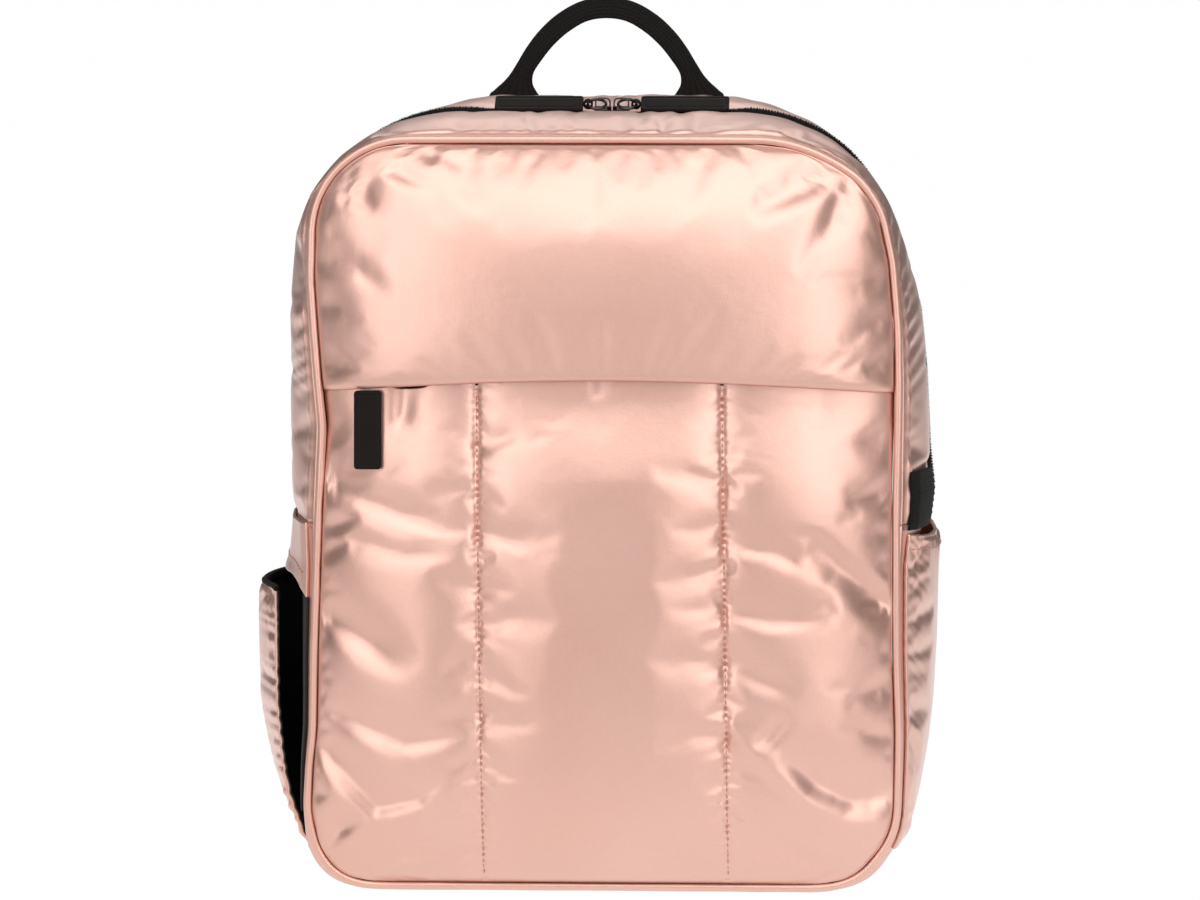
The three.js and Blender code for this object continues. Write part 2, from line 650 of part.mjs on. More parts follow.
// A pull tab with an eye at its near end: the eye's axis is Y at x = 0, and the tab runs along +X.
function tabShape(length) {
  const outline = new THREE.Shape();
  const corner = 1.5;
  const start = eyeRadius + eyeWall;
  const half = tabWidth / 2;
  outline.moveTo(start, -half + corner);
  outline.lineTo(start + corner, -half);
  outline.lineTo(start + length - corner, -half);
  outline.lineTo(start + length, -half + corner);
  outline.lineTo(start + length, half - corner);
  outline.lineTo(start + length - corner, half);
  outline.lineTo(start + corner, half);
  outline.lineTo(start, half - corner);
  const plate = new THREE.ExtrudeGeometry(outline, { depth: tabThickness, bevelEnabled: false });
  plate.translate(0, 0, -tabThickness / 2);

  const collar = new THREE.Shape();
  collar.absarc(0, 0, eyeRadius + eyeWall, 0, 2 * Math.PI);
  const hole = new THREE.Path();
  hole.absarc(0, 0, eyeRadius, 0, 2 * Math.PI, true);
  collar.holes.push(hole);
  const eye = new THREE.ExtrudeGeometry(collar, { depth: eyeWidth, bevelEnabled: false, curveSegments: 8 });
  eye.translate(0, 0, -eyeWidth / 2).rotateX(Math.PI / 2);

  const neck = new THREE.BoxGeometry(eyeWall * 2, eyeWidth, tabThickness * 0.8);
  neck.translate(start, 0, 0);
  return joined(plate, eye, neck);
}

function addMainPull(side, word) {
  const sliderX = side * (sliderLength / 2 + gap);
  const top = sectionAt(zipDeep).top * bodyHeight + zipThickness / 2 + gap;
  const slider = new THREE.Group();
  slider.position.set(sliderX, zipY, top);
  slider.rotation.z = side < 0 ? 0 : Math.PI;
  backpack.add(slider);
  add("main_slider_" + word, sliderShape(), darkMetal, slider);

  const near = side * (sliderLength / 2 - 1.3);
  const pull = new THREE.Group();
  pull.position.set(near, zipY, top + sliderThickness + bridgeRise / 2);
  pull.rotation.x = THREE.MathUtils.degToRad(tabLean);
  backpack.add(pull);
  const ring = new THREE.TorusGeometry(ringRadius, ringWire, 6, 14);
  ring.translate(side * ringRadius, 0, 0);
  add("main_ring_" + word, ring, darkMetal, pull);
  const tab = tabShape(tabLength);
  if (side < 0) tab.rotateZ(Math.PI);
  tab.translate(side * (2 * ringRadius - ringDip), 0, 0);
  add("main_tab_" + word, tab, tabBlack, pull);
}

// The front pocket's slider sits behind the flap, and its pull hangs out over the pocket panel.
function addPocketPull() {
  const seatZ = pocketTop(pocketTabX) + pocketZipHeight / 2;
  const tapeY = frontFace(pocketTabX, seatZ) + pocketZipRecess;
  const slider = new THREE.BoxGeometry(sliderLength, sliderThickness, sliderWidth);
  slider.translate(pocketTabX, tapeY - 5 * gap - sliderThickness / 2, seatZ);
  add("pocket_slider", slider, darkMetal);

  const top = flapEdge(pocketTabX - tabWidth / 2) - gap;
  const point = (offset) => (i, j) => {
    const x = pocketTabX + tabWidth * (j / 2 - 0.5);
    const z = top - (pocketTabLength * i) / 6;
    return [x, pocketFace(x, z) - 2 * gap - offset, z];
  };
  add("pocket_tab", sheet(6, 2, point(tabThickness), point(0)), tabBlack);
}

// The x of the body's side, as a distance from the middle.
const sideReach = (side, y, z) => Math.abs(outlineX(sectionAt(deepAt(y)), z, side));
const skinOffset = clothThickness / 2 + sideClearance;

// How much closer together a side panel's lower rows lie than its upper ones.
const lowCrowding = 1.5;

// A panel that stands off the body's side. foot(y) and top(y) are its lower and upper edges, and
// stand(y, z) is how far its outer face stands off the side's middle line.
function sidePanel(side, fromY, toY, foot, top, stand, thickness, rows, columns) {
  const point = (offset) => (i, j) => {
    const y = mix(fromY, toY, j / columns);
    const z = mix(foot(y), top(y), (i / rows) ** lowCrowding);
    return [side * (sideReach(side, y, z) + stand(y, z) - offset), y, z];
  };
  return sheet(rows, columns, point(0), point(thickness));
}

// A pocket's stand-off from a table of how far it stands out at mid depth.
function pocketStand(side, table, thickness, bulge) {
  return (y, z) => {
    const full = follow(table, "up", "out", z / bodyHeight) * bodyHalfWidth - sideReach(side, 0, z);
    const least = skinOffset + thickness;
    return least + Math.max(0, full - least) * bulge(y);
  };
}

function addSidePockets() {
  const [startY, endY] = [depthY(0) + pocketStart, depthY(1) - pocketStart];
  const rightBulge = (y) => 1 - Math.abs((2 * (y - startY)) / (endY - startY) - 1) ** 2.6;
  const rightStand = pocketStand(1, RIGHT_POCKET, pocketWall, rightBulge);
  const rightTop = (y) => rightHemHeight - rightHemSag * rightBulge(y);
  const right = sidePanel(1, startY, endY, () => pocketFoot, rightTop, rightStand, pocketWall, 10, 14);
  add("side_pocket_right", right, satin);

  const leftBulge = (y) => {
    const place = (y - pouchMouthY) / (endY - pouchMouthY);
    return place < 0.35 ? mix(pouchMouthShare, 1, ease(place / 0.35)) : 1 - ((place - 0.35) / 0.65) ** 2.6;
  };
  const leftStand = pocketStand(-1, LEFT_POCKET, pocketWall, leftBulge);
  const left = sidePanel(-1, pouchMouthY, endY, () => pouchFoot, () => pouchTop, leftStand, pocketWall, 14, 14);
  add("side_pocket_left", left, satin);

  const yokeStand = (y, z) => {
    const least = skinOffset + pocketWall;
    const bulge = 1 - Math.abs((2 * (y - startY)) / (endY - startY) - 1) ** 2.2;
    const drop = clamp((seamHeight - z) / (seamHeight - yokeFoot));
    return least + Math.max(0, yokeReach - sideReach(-1, 0, yokeFoot) - least) * bulge * drop;
  };
  const yokeEdge = (y) => yokeFoot - yokeFrontDrop * clamp(1 - (y - startY) / 24) ** 2;
  const yokeTop = () => seamHeight - gap;
  add("side_pocket_left_yoke", sidePanel(-1, startY, endY, yokeEdge, yokeTop, yokeStand, pocketWall, 4, 14), satin);

  const liningStand = () => skinOffset + liningThickness;
  const foot = () => liningFoot;
  const behindYoke = (y) => yokeEdge(y) - 2 * gap;
  const lining = sidePanel(-1, startY, liningEndY, foot, behindYoke, liningStand, liningThickness, 8, 6);
  add("side_pocket_left_lining", lining, zipBlack);
}

function addSideLoop() {
  const startY = depthY(0) + pocketStart;
  const endY = startY + loopLength;
  const stand = (y) => skinOffset + webThickness + loopStand * Math.sin((Math.PI * (y - startY)) / loopLength);
  const top = () => loopFoot + loopHeight;
  add("side_loop", sidePanel(1, startY, endY, () => loopFoot, top, stand, webThickness, 3, 8), webbing);
}

function addGrabHandle() {
  const foot = bodyHeight + clothThickness / 2 + gap;
  const place = (row, side) => ({
    at: new THREE.Vector3(handleX + side * row.along * handleHalfSpan, handleY, foot + row.up * handleRise),
    half: (row.wide * handleFootWidth) / 2,
    thick: (row.thick * handleThickness) / 2,
  });
  const left = HANDLE.map((row) => place(row, -1));
  const right = HANDLE.slice(0, -1).map((row) => place(row, 1));
  const stations = stationsAlong([...left, ...right.reverse()], new THREE.Vector3(0, 1, 0));
  for (const end of [stations[0], stations[stations.length - 1]]) {
    const half = end.across.length() * Math.sign(end.across.x);
    end.across.set(half, 0, 0);
  }
  add("grab_handle", strip(stations, SOFT_PROFILE), webbing);
}

// A plate with a row of slots across it, in the local XZ plane of a strap, its top edge at z = top.
function buckleShape(top) {
  const halfSlot = webHalfWidth + 2 * gap;
  const half = halfSlot + buckleRail;
  const length = 4 * buckleBar + 3 * buckleSlot;
  const plate = new THREE.Shape();
  const corner = 2;
  plate.moveTo(-half, top - corner);
  plate.lineTo(-half + corner, top);
  plate.lineTo(half - corner, top);
  plate.lineTo(half, top - corner);
  plate.lineTo(half, top - length + corner);
  plate.lineTo(half - corner, top - length);
  plate.lineTo(corner - half, top - length);
  plate.lineTo(-half, top - length + corner);
  for (let k = 0; k < 3; k += 1) {
    const slotTop = top - buckleBar - k * (buckleBar + buckleSlot);
    const slot = new THREE.Path();
    slot.moveTo(-halfSlot, slotTop);
    slot.lineTo(-halfSlot, slotTop - buckleSlot);
    slot.lineTo(halfSlot, slotTop - buckleSlot);
    slot.lineTo(halfSlot, slotTop);
    plate.holes.push(slot);
  }
  const buckle = new THREE.ExtrudeGeometry(plate, { depth: buckleThickness, bevelEnabled: false });
  return buckle.translate(0, 0, -buckleThickness / 2).rotateX(Math.PI / 2);
}

// Webbing that runs up one face of a bar, round its edge and down the other. z values are heights along the
// strap: start, the edge of the bar that it turns round, and end. turn is 1 over an edge and -1 under it.
function foldedWeb(start, edge, end, turn, startSide) {
  const off = buckleThickness / 2 + gap + webThickness / 2;
  const clear = edge + turn * (gap + webThickness / 2 - off * 0.55);
  const rows = [{ y: startSide * off, z: start }];
  for (let k = 0; k <= 6; k += 1) {
    const angle = (Math.PI * k) / 6;
    rows.push({ y: startSide * off * Math.cos(angle), z: clear + turn * off * Math.sin(angle) });
  }
  rows.push({ y: -startSide * off, z: end });
  return rows.map(({ y, z }, i) => {
    const [before, after] = [rows[Math.max(0, i - 1)], rows[Math.min(rows.length - 1, i + 1)]];
    const normal = new THREE.Vector3(0, after.z - before.z, before.y - after.y).normalize();
    return {
      at: new THREE.Vector3(0, y, z),
      across: new THREE.Vector3(webHalfWidth, 0, 0),
      through: normal.multiplyScalar(webThickness / 2),
    };
  });
}

function addStrap(side, word) {
  const rows = STRAP.map(({ up, out, off, wide, thick }) => {
    const [x, z] = [side * out * bodyHalfWidth, up * bodyHeight];
    const y = backFace(x, z) + 2 * gap + strapPad / 2 + off * strapWidth;
    return { at: new THREE.Vector3(x, y, z), half: (wide * strapWidth) / 2, thick: (thick * strapPad) / 2 };
  });
  const pad = strip(stationsAlong(rows, new THREE.Vector3(0, 1, 0)), SOFT_PROFILE);
  add("shoulder_strap_" + word, pad, satin);

  const padEnd = rows[rows.length - 1].at;
  const web = buckleThickness / 2 + gap + webThickness;
  const anchorY = backFace(side * anchorX, anchorHeight) + 5 * gap + anchorThickness + web;
  const anchor = new THREE.Vector3(side * anchorX, anchorY, anchorHeight);
  const upward = padEnd.clone().sub(anchor);
  const length = upward.length();
  upward.normalize();
  const across = new THREE.Vector3(0, 1, 0).cross(upward).normalize();
  const out = upward.clone().cross(across);
  const lower = new THREE.Group();
  lower.quaternion.setFromRotationMatrix(new THREE.Matrix4().makeBasis(across, out, upward));
  lower.position.copy(padEnd);
  backpack.add(lower);

  const padGap = -6 * gap;
  const top = padGap - loopDrop;
  add("strap_loop_" + word, strip(foldedWeb(padGap, top - buckleBar, padGap, -1, 1), FLAT_PROFILE), webbing, lower);
  add("strap_buckle_" + word, buckleShape(top), buckleBlack, lower);
  const turnEdge = top - 2 * (buckleBar + buckleSlot);
  const tailEnd = turnEdge - tailLength;
  add("strap_web_" + word, strip(foldedWeb(-length, turnEdge, tailEnd, 1, -1), FLAT_PROFILE), webbing, lower);

  const lean = new THREE.Vector2(upward.x, upward.z).normalize();
  const seat = new THREE.Vector2(anchor.x, anchor.z).addScaledVector(lean, 3);
  const patchPoint = (offset) => (i, j) => {
    const flat = seat.clone().addScaledVector(lean, (-i * anchorLength) / 3);
    const [x, z] = [flat.x + lean.y * anchorHalfWidth * (j - 1), flat.y - lean.x * anchorHalfWidth * (j - 1)];
    return [x, backFace(x, z) + 2 * gap + offset, z];
  };
  add("strap_anchor_" + word, sheet(3, 2, patchPoint(anchorThickness), patchPoint(0)), satinTrim);
}

addGusset();
addPiping("piping_front", 0);
addPiping("piping_back", 1);
addFrontPanels();
addBackPanel();
addMainPull(-1, "left");
addMainPull(1, "right");
addPocketPull();
addSidePockets();
addSideLoop();
addGrabHandle();
addStrap(-1, "left");
addStrap(1, "right");

export default backpack;
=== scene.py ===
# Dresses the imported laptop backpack: puffed satin panels, piping, zips, webbing, pockets and padded straps.
import math
import random
import bmesh
import bpy
import numpy as np
from mathutils import Matrix, Vector


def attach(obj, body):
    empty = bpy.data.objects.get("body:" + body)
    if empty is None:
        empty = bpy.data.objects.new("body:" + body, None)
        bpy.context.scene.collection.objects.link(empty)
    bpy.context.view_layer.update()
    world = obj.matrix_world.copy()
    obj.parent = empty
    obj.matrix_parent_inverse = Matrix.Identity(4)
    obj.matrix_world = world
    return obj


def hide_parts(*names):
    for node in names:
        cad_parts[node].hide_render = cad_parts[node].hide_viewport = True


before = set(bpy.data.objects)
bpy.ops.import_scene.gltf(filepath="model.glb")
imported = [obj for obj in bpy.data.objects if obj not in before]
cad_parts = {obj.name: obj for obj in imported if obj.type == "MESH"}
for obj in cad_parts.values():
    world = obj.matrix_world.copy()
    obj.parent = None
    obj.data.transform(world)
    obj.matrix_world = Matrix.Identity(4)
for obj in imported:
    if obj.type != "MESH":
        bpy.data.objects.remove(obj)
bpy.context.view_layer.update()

# The body's sizes, in millimetres
MM = 0.001
BODY_HEIGHT = 400
HALF_WIDTH = 150
BODY_DEPTH = 150
CLOTH = 2.5
PAD = 3
PIPING_RADIUS = 2.2
GAP = 0.3
SEAM_HEIGHT = 190
FRONT_PUFF = 26
BACK_PUFF = 5
BACK_PAD = 8
PANEL_INSET = PIPING_RADIUS + 2 * GAP
CLOTH_INSET = PIPING_RADIUS + GAP / 2
FRONT_Y = -BODY_DEPTH / 2
BACK_Y = BODY_DEPTH / 2

# Main zip
ZIP_DEEP = 0.5
ZIP_HALF = 4
ZIP_THICK = 1.6
ZIP_SINK = 2.0
ZIP_SINK_REACH = 11

# Front pocket
FLAP_EDGE = 258
FLAP_ARCH = 8
FLAP_OVERLAP = 4
FLAP_STEP_EDGE = 3.6
FLAP_STEP_MIDDLE = 7.5
CHANNEL_PINCH = 4.0
SEAM_GROOVE = 1.0

SECTION = {
    "deep": [0.0, 0.08, 0.25, 0.47, 0.75, 0.92, 1.0],
    "top": [0.9675, 0.975, 0.985, 0.992, 0.998, 1.0, 1.0],
    "top_left": [0.32, 0.36, 0.42, 0.47, 0.56, 0.62, 0.64],
    "top_right": [0.5, 0.5, 0.51, 0.55, 0.61, 0.66, 0.68],
    "foot_left": [0.26, 0.22, 0.2, 0.2, 0.2, 0.23, 0.26],
    "foot_right": [0.3, 0.27, 0.24, 0.24, 0.24, 0.26, 0.28],
    "belly": [0.0, 0.5, 0.88, 1.0, 0.85, 0.45, 0.0],
    "lift": [1, 0, 0, 0, 0, 0, 1],
}
BELLY = {
    "up": [0, 0.09, 0.18, 0.42, 0.475, 0.51, 0.56, 0.665, 0.74, 0.795, 0.85, 0.905, 0.945, 1],
    "left": [0.04, 0.035, 0.045, 0.05, 0.085, 0.09, 0.09, 0.09, 0.09, 0.076, 0.062, 0.05, 0.025, 0],
    "right": [0.03, 0.012, 0.032, 0.038, 0.095, 0.107, 0.092, 0.077, 0.056, 0.012, -0.01, -0.01, 0, 0],
}
SIDE_WAVE = {
    "up": [0, 0.015, 0.043, 0.08, 0.11, 0.16, 0.21, 0.31, 0.49, 0.6, 0.66, 0.725, 0.79, 0.84, 0.88, 0.92, 0.945, 0.97],
    "left": [0.06, 0.055, 0.037, 0.022, 0.027, 0.02, 0.006, 0.001, -0.016, -0.031, -0.016, -0.003, 0.008, 0.004, 0.003,
             0.003, 0, 0],
    "right": [0.02, 0.02, 0, 0, -0.004, -0.002, -0.001, -0.011, -0.014, -0.008, -0.007, -0.01, -0.024, -0.02, 0.003,
              0.016, 0.003, 0],
}

# Folds of the front, in millimetres: how deep and how wide each is, and the places that it runs through, from
# its deep end to where it dies out. A minus depth is a ridge. The side to the right of the way is the crisp one, or with a minus
# width the left.
FLAP_FOLDS = [
    (3.0, 3.8, (-129, 377), (-106, 370), (-80, 360)), (2.2, 3.8, (-110, 384), (-80, 377), (-48, 367)),
    (4.4, 7, (-141, 362), (-124, 357), (-109, 350)), (1.9, 3.5, (-138, 339), (-118, 339), (-98, 338)),
    (1.1, 3, (-133, 330), (-104, 330)), (3.0, 4.5, (-147, 325), (-126, 322), (-108, 308)),
    (2.2, 5, (-148, 302), (-132, 303)), (1.5, 4, (-148, 276), (-134, 271)),
    (4.6, 6.5, (80, 356), (104, 363), (128, 371)), (2.0, 6, (118, 378), (92, 368), (70, 366)),
    (4.6, 8, (125, 364), (116, 348), (108, 330)), (1.1, 3, (126, 318), (96, 318)),
    (2.4, 5, (147, 324), (128, 312)), (2.2, 6, (147, 303), (128, 290)), (1.6, 5, (147, 281), (130, 270)),
    (1.6, 3, (-93, 384), (-86, 374)), (1.3, 3, (-71, 385), (-67, 375)), (1.1, 3, (-50, 385), (-46, 376)),
    (1.1, 3, (-8, 385), (-5, 377)), (1.2, 3, (34, 385), (39, 375)), (1.5, 3.5, (68, 384), (75, 373)),
    (1.8, 2.2, (-134, 373), (-128, 367)), (2.6, 2.6, (126, 368), (119, 360)),
]
POCKET_FOLDS = [
    (5.6, 8.5, (-142, 212), (-104, 197), (-82, 191), (-56, 190)), (2.6, 6, (-126, 182), (-100, 176), (-64, 179)),
    (3.4, 4, (-148, 187), (-136, 190), (-124, 197)), (3.0, 5, (-149, 172), (-132, 183)),
    (2.8, 4, (-103, 260), (-104, 248), (-108, 238)),
    (5.2, 7.5, (-150, 148), (-128, 134), (-96, 112)), (2.4, 4, (-150, 118), (-142, 142)),
    (3.0, 7, (-134, 92), (-100, 80), (-62, 86)), (4.2, 6.5, (-144, 74), (-117, 46), (-96, 52), (-66, 76)),
    (4.0, 5, (-146, 20), (-137, 32), (-122, 44)), (3.6, 5, (-130, 9), (-105, 21), (-60, 26)),
    (2.2, 4, (-88, 10), (-64, 26)),
    (4.4, 5.5, (146, 152), (134, 159), (120, 171), (107, 186), (88, 194)),
    (3.0, 6, (63, 185), (84, 180), (112, 166)), (3.0, 6, (63, 150), (84, 144), (118, 144)),
    (3.0, 5, (148, 146), (136, 152), (126, 148)), (2.6, 6.5, (63, 124), (80, 113), (104, 104)),
    (2.4, 3, (88, 92), (82, 84), (74, 76)), (-2.2, 4, (63, 88), (90, 62), (122, 34)),
    (5.4, -8, (148, 50), (126, 50), (108, 60), (82, 88)), (2.6, 5, (146, 14), (138, 26), (131, 36)),
    (3.4, 6, (128, 6), (104, 20), (70, 38)), (2.4, 5, (148, 112), (128, 104)), (2.2, 5, (148, 82), (130, 86)),
    (2.4, 6, (148, 242), (124, 230)), (2.8, 5, (148, 214), (128, 202)), (2.4, 6, (-150, 242), (-134, 230)),
    (1.8, 5, (-62, 206), (-96, 216)), (1.8, 5, (-62, 160), (-90, 168)), (2.6, 4, (-62, 188), (-34, 179)),
    (1.8, 4, (-62, 232), (-40, 240)), (1.6, 4, (-62, 140), (-38, 147)), (1.6, 5, (-62, 98), (-90, 90)),
    (1.8, 4, (60, 214), (34, 222)), (1.6, 4, (60, 172), (38, 164)), (1.6, 4, (60, 120), (36, 128)),
    (1.8, 4, (61, 84), (38, 92)), (1.0, 3, (-5, 265), (-5, 255)), (2.4, 2.4, (-136, 10), (-129, 16)),
    (2.4, 2.4, (133, 14), (125, 22)),
]


def column(table, name, at, by="up"):
    return np.interp(at, table[by], table[name])


def section_at(deep):
    return {name: float(column(SECTION, name, deep, "deep")) for name in SECTION}


def depth_y(deep):
    return (deep - 0.5) * BODY_DEPTH


def side_swell(section, z, side):
    name = "left" if side < 0 else "right"
    wave = column(SIDE_WAVE, name, z / BODY_HEIGHT)
    belly = column(BELLY, name, z / BODY_HEIGHT)
    fade = max(0.0, 1 - 2 * section["deep"]) ** 2
    return (wave * fade + belly * section["belly"]) * HALF_WIDTH


def outline_size(section, inset):
    return {
        "half": HALF_WIDTH - inset,
        "top": section["top"] * BODY_HEIGHT - inset,
        "foot": section["lift"] * (PIPING_RADIUS + GAP) + CLOTH / 2 * (1 - section["lift"]) + inset,
        "top_left": section["top_left"] * HALF_WIDTH - inset,
        "top_right": section["top_right"] * HALF_WIDTH - inset,
        "foot_left": section["foot_left"] * HALF_WIDTH - inset,
        "foot_right": section["foot_right"] * HALF_WIDTH - inset,
    }


def outline_x(section, z, side, inset=0.0):
    """The x of one side of a section's outline at heights z."""
    size = outline_size(section, inset)
    top = size["top_left"] if side < 0 else size["top_right"]
    foot = size["foot_left"] if side < 0 else size["foot_right"]
    over = np.maximum(0, z - (size["top"] - top))
    under = np.maximum(0, size["foot"] + foot - z)
    radius = np.where(over > 0, top, foot)
    reach = np.minimum(radius, np.maximum(over, under))
    x = size["half"] - radius + np.sqrt(radius ** 2 - reach ** 2)
    return side * (x + side_swell(section, z, side))


def arc(cx, cz, radius, start, end, count=40):
    turn = np.radians(np.linspace(start, end, count))
    return np.stack([cx + radius * np.cos(turn), cz + radius * np.sin(turn)], axis=1)


def outline_points(section, stretch, inset, shares):
    """Points at shares of the way along the outline's top stretch, left to right, or its foot, right to left."""
    size = outline_size(section, inset)
    half, top, foot = size["half"], size["top"], size["foot"]
    if stretch == "top":
        seam = SEAM_HEIGHT + GAP / 2
        left, right = size["top_left"], size["top_right"]
        path = np.concatenate([
            [(-half, seam)], arc(left - half, top - left, left, 180, 90),
            arc(half - right, top - right, right, 90, 0), [(half, seam)],
        ])
    else:
        seam = SEAM_HEIGHT - GAP / 2
        left, right = size["foot_left"], size["foot_right"]
        path = np.concatenate([
            [(half, seam)], arc(half - right, foot + right, right, 0, -90),
            arc(left - half, foot + left, left, 270, 180), [(-half, seam)],
        ])
    steps = np.hypot(*np.diff(path, axis=0).T)
    along = np.concatenate([[0], np.cumsum(steps)]) / steps.sum()
    x = np.interp(shares, along, path[:, 0])
    z = np.interp(shares, along, path[:, 1])
    left_x = x - side_swell(section, z, -1)
    right_x = x + side_swell(section, z, 1)
    return np.where(x < 0, left_x, right_x), z


FRONT = section_at(0)
BACK = section_at(1)
PANEL_TOP = FRONT["top"] * BODY_HEIGHT - PANEL_INSET
PANEL_FOOT = outline_size(FRONT, PANEL_INSET)["foot"]
CLOTH_TOP = FRONT["top"] * BODY_HEIGHT - CLOTH_INSET
CLOTH_FOOT = outline_size(FRONT, CLOTH_INSET)["foot"]


def fullness(across, up):
    sideways = 1 - np.minimum(1, np.abs(across)) ** 3
    upright = 1 - np.minimum(1, np.abs(up)) ** 4
    return (sideways * upright) ** 0.6


def front_shares(x, z):
    left = outline_x(FRONT, z, -1, PANEL_INSET)
    right = outline_x(FRONT, z, 1, PANEL_INSET)
    middle = (PANEL_TOP + PANEL_FOOT) / 2
    return (2 * x - left - right) / (right - left), (z - middle) / (PANEL_TOP - middle)


FOLD_SPREAD = 1.5
FOLD_STRENGTH = 0.9
FOLD_CRISPNESS = 0.35
ZIP_GAPE = 5.5
ZIP_GAPE_X = -99


def ease(share):
    return share * share * (3 - 2 * share)


def path_distance(x, z, places):
    """How far points are from a path, the share of the way along it, and whether they lie to its right."""
    nearest = np.full(x.shape, np.inf)
    way = np.zeros_like(x)
    facing = np.zeros_like(x)
    lengths = [math.dist(start, end) for start, end in zip(places, places[1:])]
    for at, (start, end) in enumerate(zip(places, places[1:])):
        run_x, run_z = (end[0] - start[0]) / lengths[at], (end[1] - start[1]) / lengths[at]
        along = np.clip((x - start[0]) * run_x + (z - start[1]) * run_z, 0, lengths[at])
        off_x, off_z = x - start[0] - along * run_x, z - start[1] - along * run_z
        off = np.hypot(off_x, off_z)
        closer = off < nearest
        nearest = np.where(closer, off, nearest)
        way = np.where(closer, (sum(lengths[:at]) + along) / sum(lengths), way)
        facing = np.where(closer, (off_x * run_z - off_z * run_x) / np.maximum(off, 0.01), facing)
    return nearest, way, facing


def fold_depth(folds, x, z):
    depth = np.zeros_like(x)
    for deep, wide, *places in folds:
        off, way, facing = path_distance(x, z, places)
        fade = 1 - ease(np.clip(2 * way - 1, 0, 1))
        spread = FOLD_SPREAD * abs(wide) * (1 - 0.35 * way) * (1 - math.copysign(FOLD_CRISPNESS, wide) * facing)
        depth += FOLD_STRENGTH * deep * fade * np.exp(-(off / spread) ** 2)
    return depth


def front_face(x, z, folds=()):
    full = fullness(*front_shares(x, z))
    return FRONT_Y - PAD / 2 - FRONT_PUFF * full + fold_depth(folds, x, z) * np.clip(3.5 * full, 0, 1)


def flap_edge(x):
    return FLAP_EDGE + FLAP_ARCH * (1 - (x / HALF_WIDTH) ** 2)


def left_seam_x(z):
    return np.interp(z, [0, 265], [-62.6, -65.6])


def right_seam_x(z):
    return np.interp(z, [0, 265], [63, 59.2])


def pocket_face(x, z, folds=()):
    across, up = front_shares(x, z)
    step = FLAP_STEP_EDGE + (FLAP_STEP_MIDDLE - FLAP_STEP_EDGE) * np.clip((1 - np.abs(across)) * 4, 0, 1)
    below = np.clip((flap_edge(x) - FLAP_OVERLAP - z) / 60, 0, 1)
    off = np.minimum(np.abs(x - left_seam_x(z)), np.abs(x - right_seam_x(z)))
    groove = CHANNEL_PINCH * np.exp(-off / 8) + SEAM_GROOVE * np.exp(-(off / 1.4) ** 2)
    pinch = groove * fullness(across, up)
    return front_face(x, z, folds) + step * (1 - ease(below)) + pinch


# Mesh building

def grid_normals(points):
    """Unit normals of a grid of points, from its rows and columns."""
    rows = np.gradient(points, axis=0)
    columns = np.gradient(points, axis=1)
    normals = np.cross(columns, rows)
    return normals / np.maximum(np.linalg.norm(normals, axis=2, keepdims=True), 1e-9)


def finer(points, axis=None):
    """Doubles a grid of points, smoothing it as cubic subdivision does and keeping its border."""
    if axis is None:
        return finer(finer(points, 0), 1)
    points = np.moveaxis(points, axis, 0)
    smooth = points.copy()
    smooth[1:-1] = (points[:-2] + 6 * points[1:-1] + points[2:]) / 8
    result = np.empty((2 * len(points) - 1,) + points.shape[1:])
    result[0::2] = smooth
    result[1::2] = (points[:-1] + points[1:]) / 2
    return np.moveaxis(result, 0, axis)


def mesh_object(name, points, faces, uvs=None):
    """A smooth-shaded object from points in millimetres. uvs holds one place per point, in metres."""
    mesh = bpy.data.meshes.new(name)
    mesh.vertices.add(len(points))
    mesh.vertices.foreach_set("co", (np.asarray(points, float) * MM).ravel())
    sizes = np.full(len(faces), faces.shape[1])
    mesh.loops.add(faces.size)
    mesh.loops.foreach_set("vertex_index", faces.ravel())
    mesh.polygons.add(len(faces))
    mesh.polygons.foreach_set("loop_start", np.concatenate([[0], np.cumsum(sizes)[:-1]]))
    mesh.polygons.foreach_set("loop_total", sizes)
    mesh.update(calc_edges=True)
    mesh.validate()
    if uvs is not None:
        layer = mesh.uv_layers.new(name="UVMap")
        layer.data.foreach_set("uv", (uvs[faces.ravel()] * MM).ravel())
    mesh.shade_smooth()
    piece = bpy.data.objects.new(name, mesh)
    bpy.context.scene.collection.objects.link(piece)
    return piece


def grid_faces(rows, columns, start=0, wrap=False):
    """Quads of a grid of rows by columns of points. wrap joins the last column to the first."""
    row, col = np.meshgrid(np.arange(rows - 1), np.arange(columns if wrap else columns - 1), indexing="ij")
    after = (col + 1) % columns
    corners = [row * columns + col, row * columns + after, (row + 1) * columns + after, (row + 1) * columns + col]
    return np.stack(corners, axis=-1).reshape(-1, 4) + start


def grid_places(points):
    """Places on a grid in millimetres of cloth: along its rows and along its columns."""
    across = np.linalg.norm(np.diff(points, axis=1), axis=2).mean(axis=0)
    along = np.linalg.norm(np.diff(points, axis=0), axis=2).mean(axis=1)
    u = np.concatenate([[0], np.cumsum(across)])
    v = np.concatenate([[0], np.cumsum(along)])
    return np.stack(np.meshgrid(u, v), axis=-1)


# Cloth

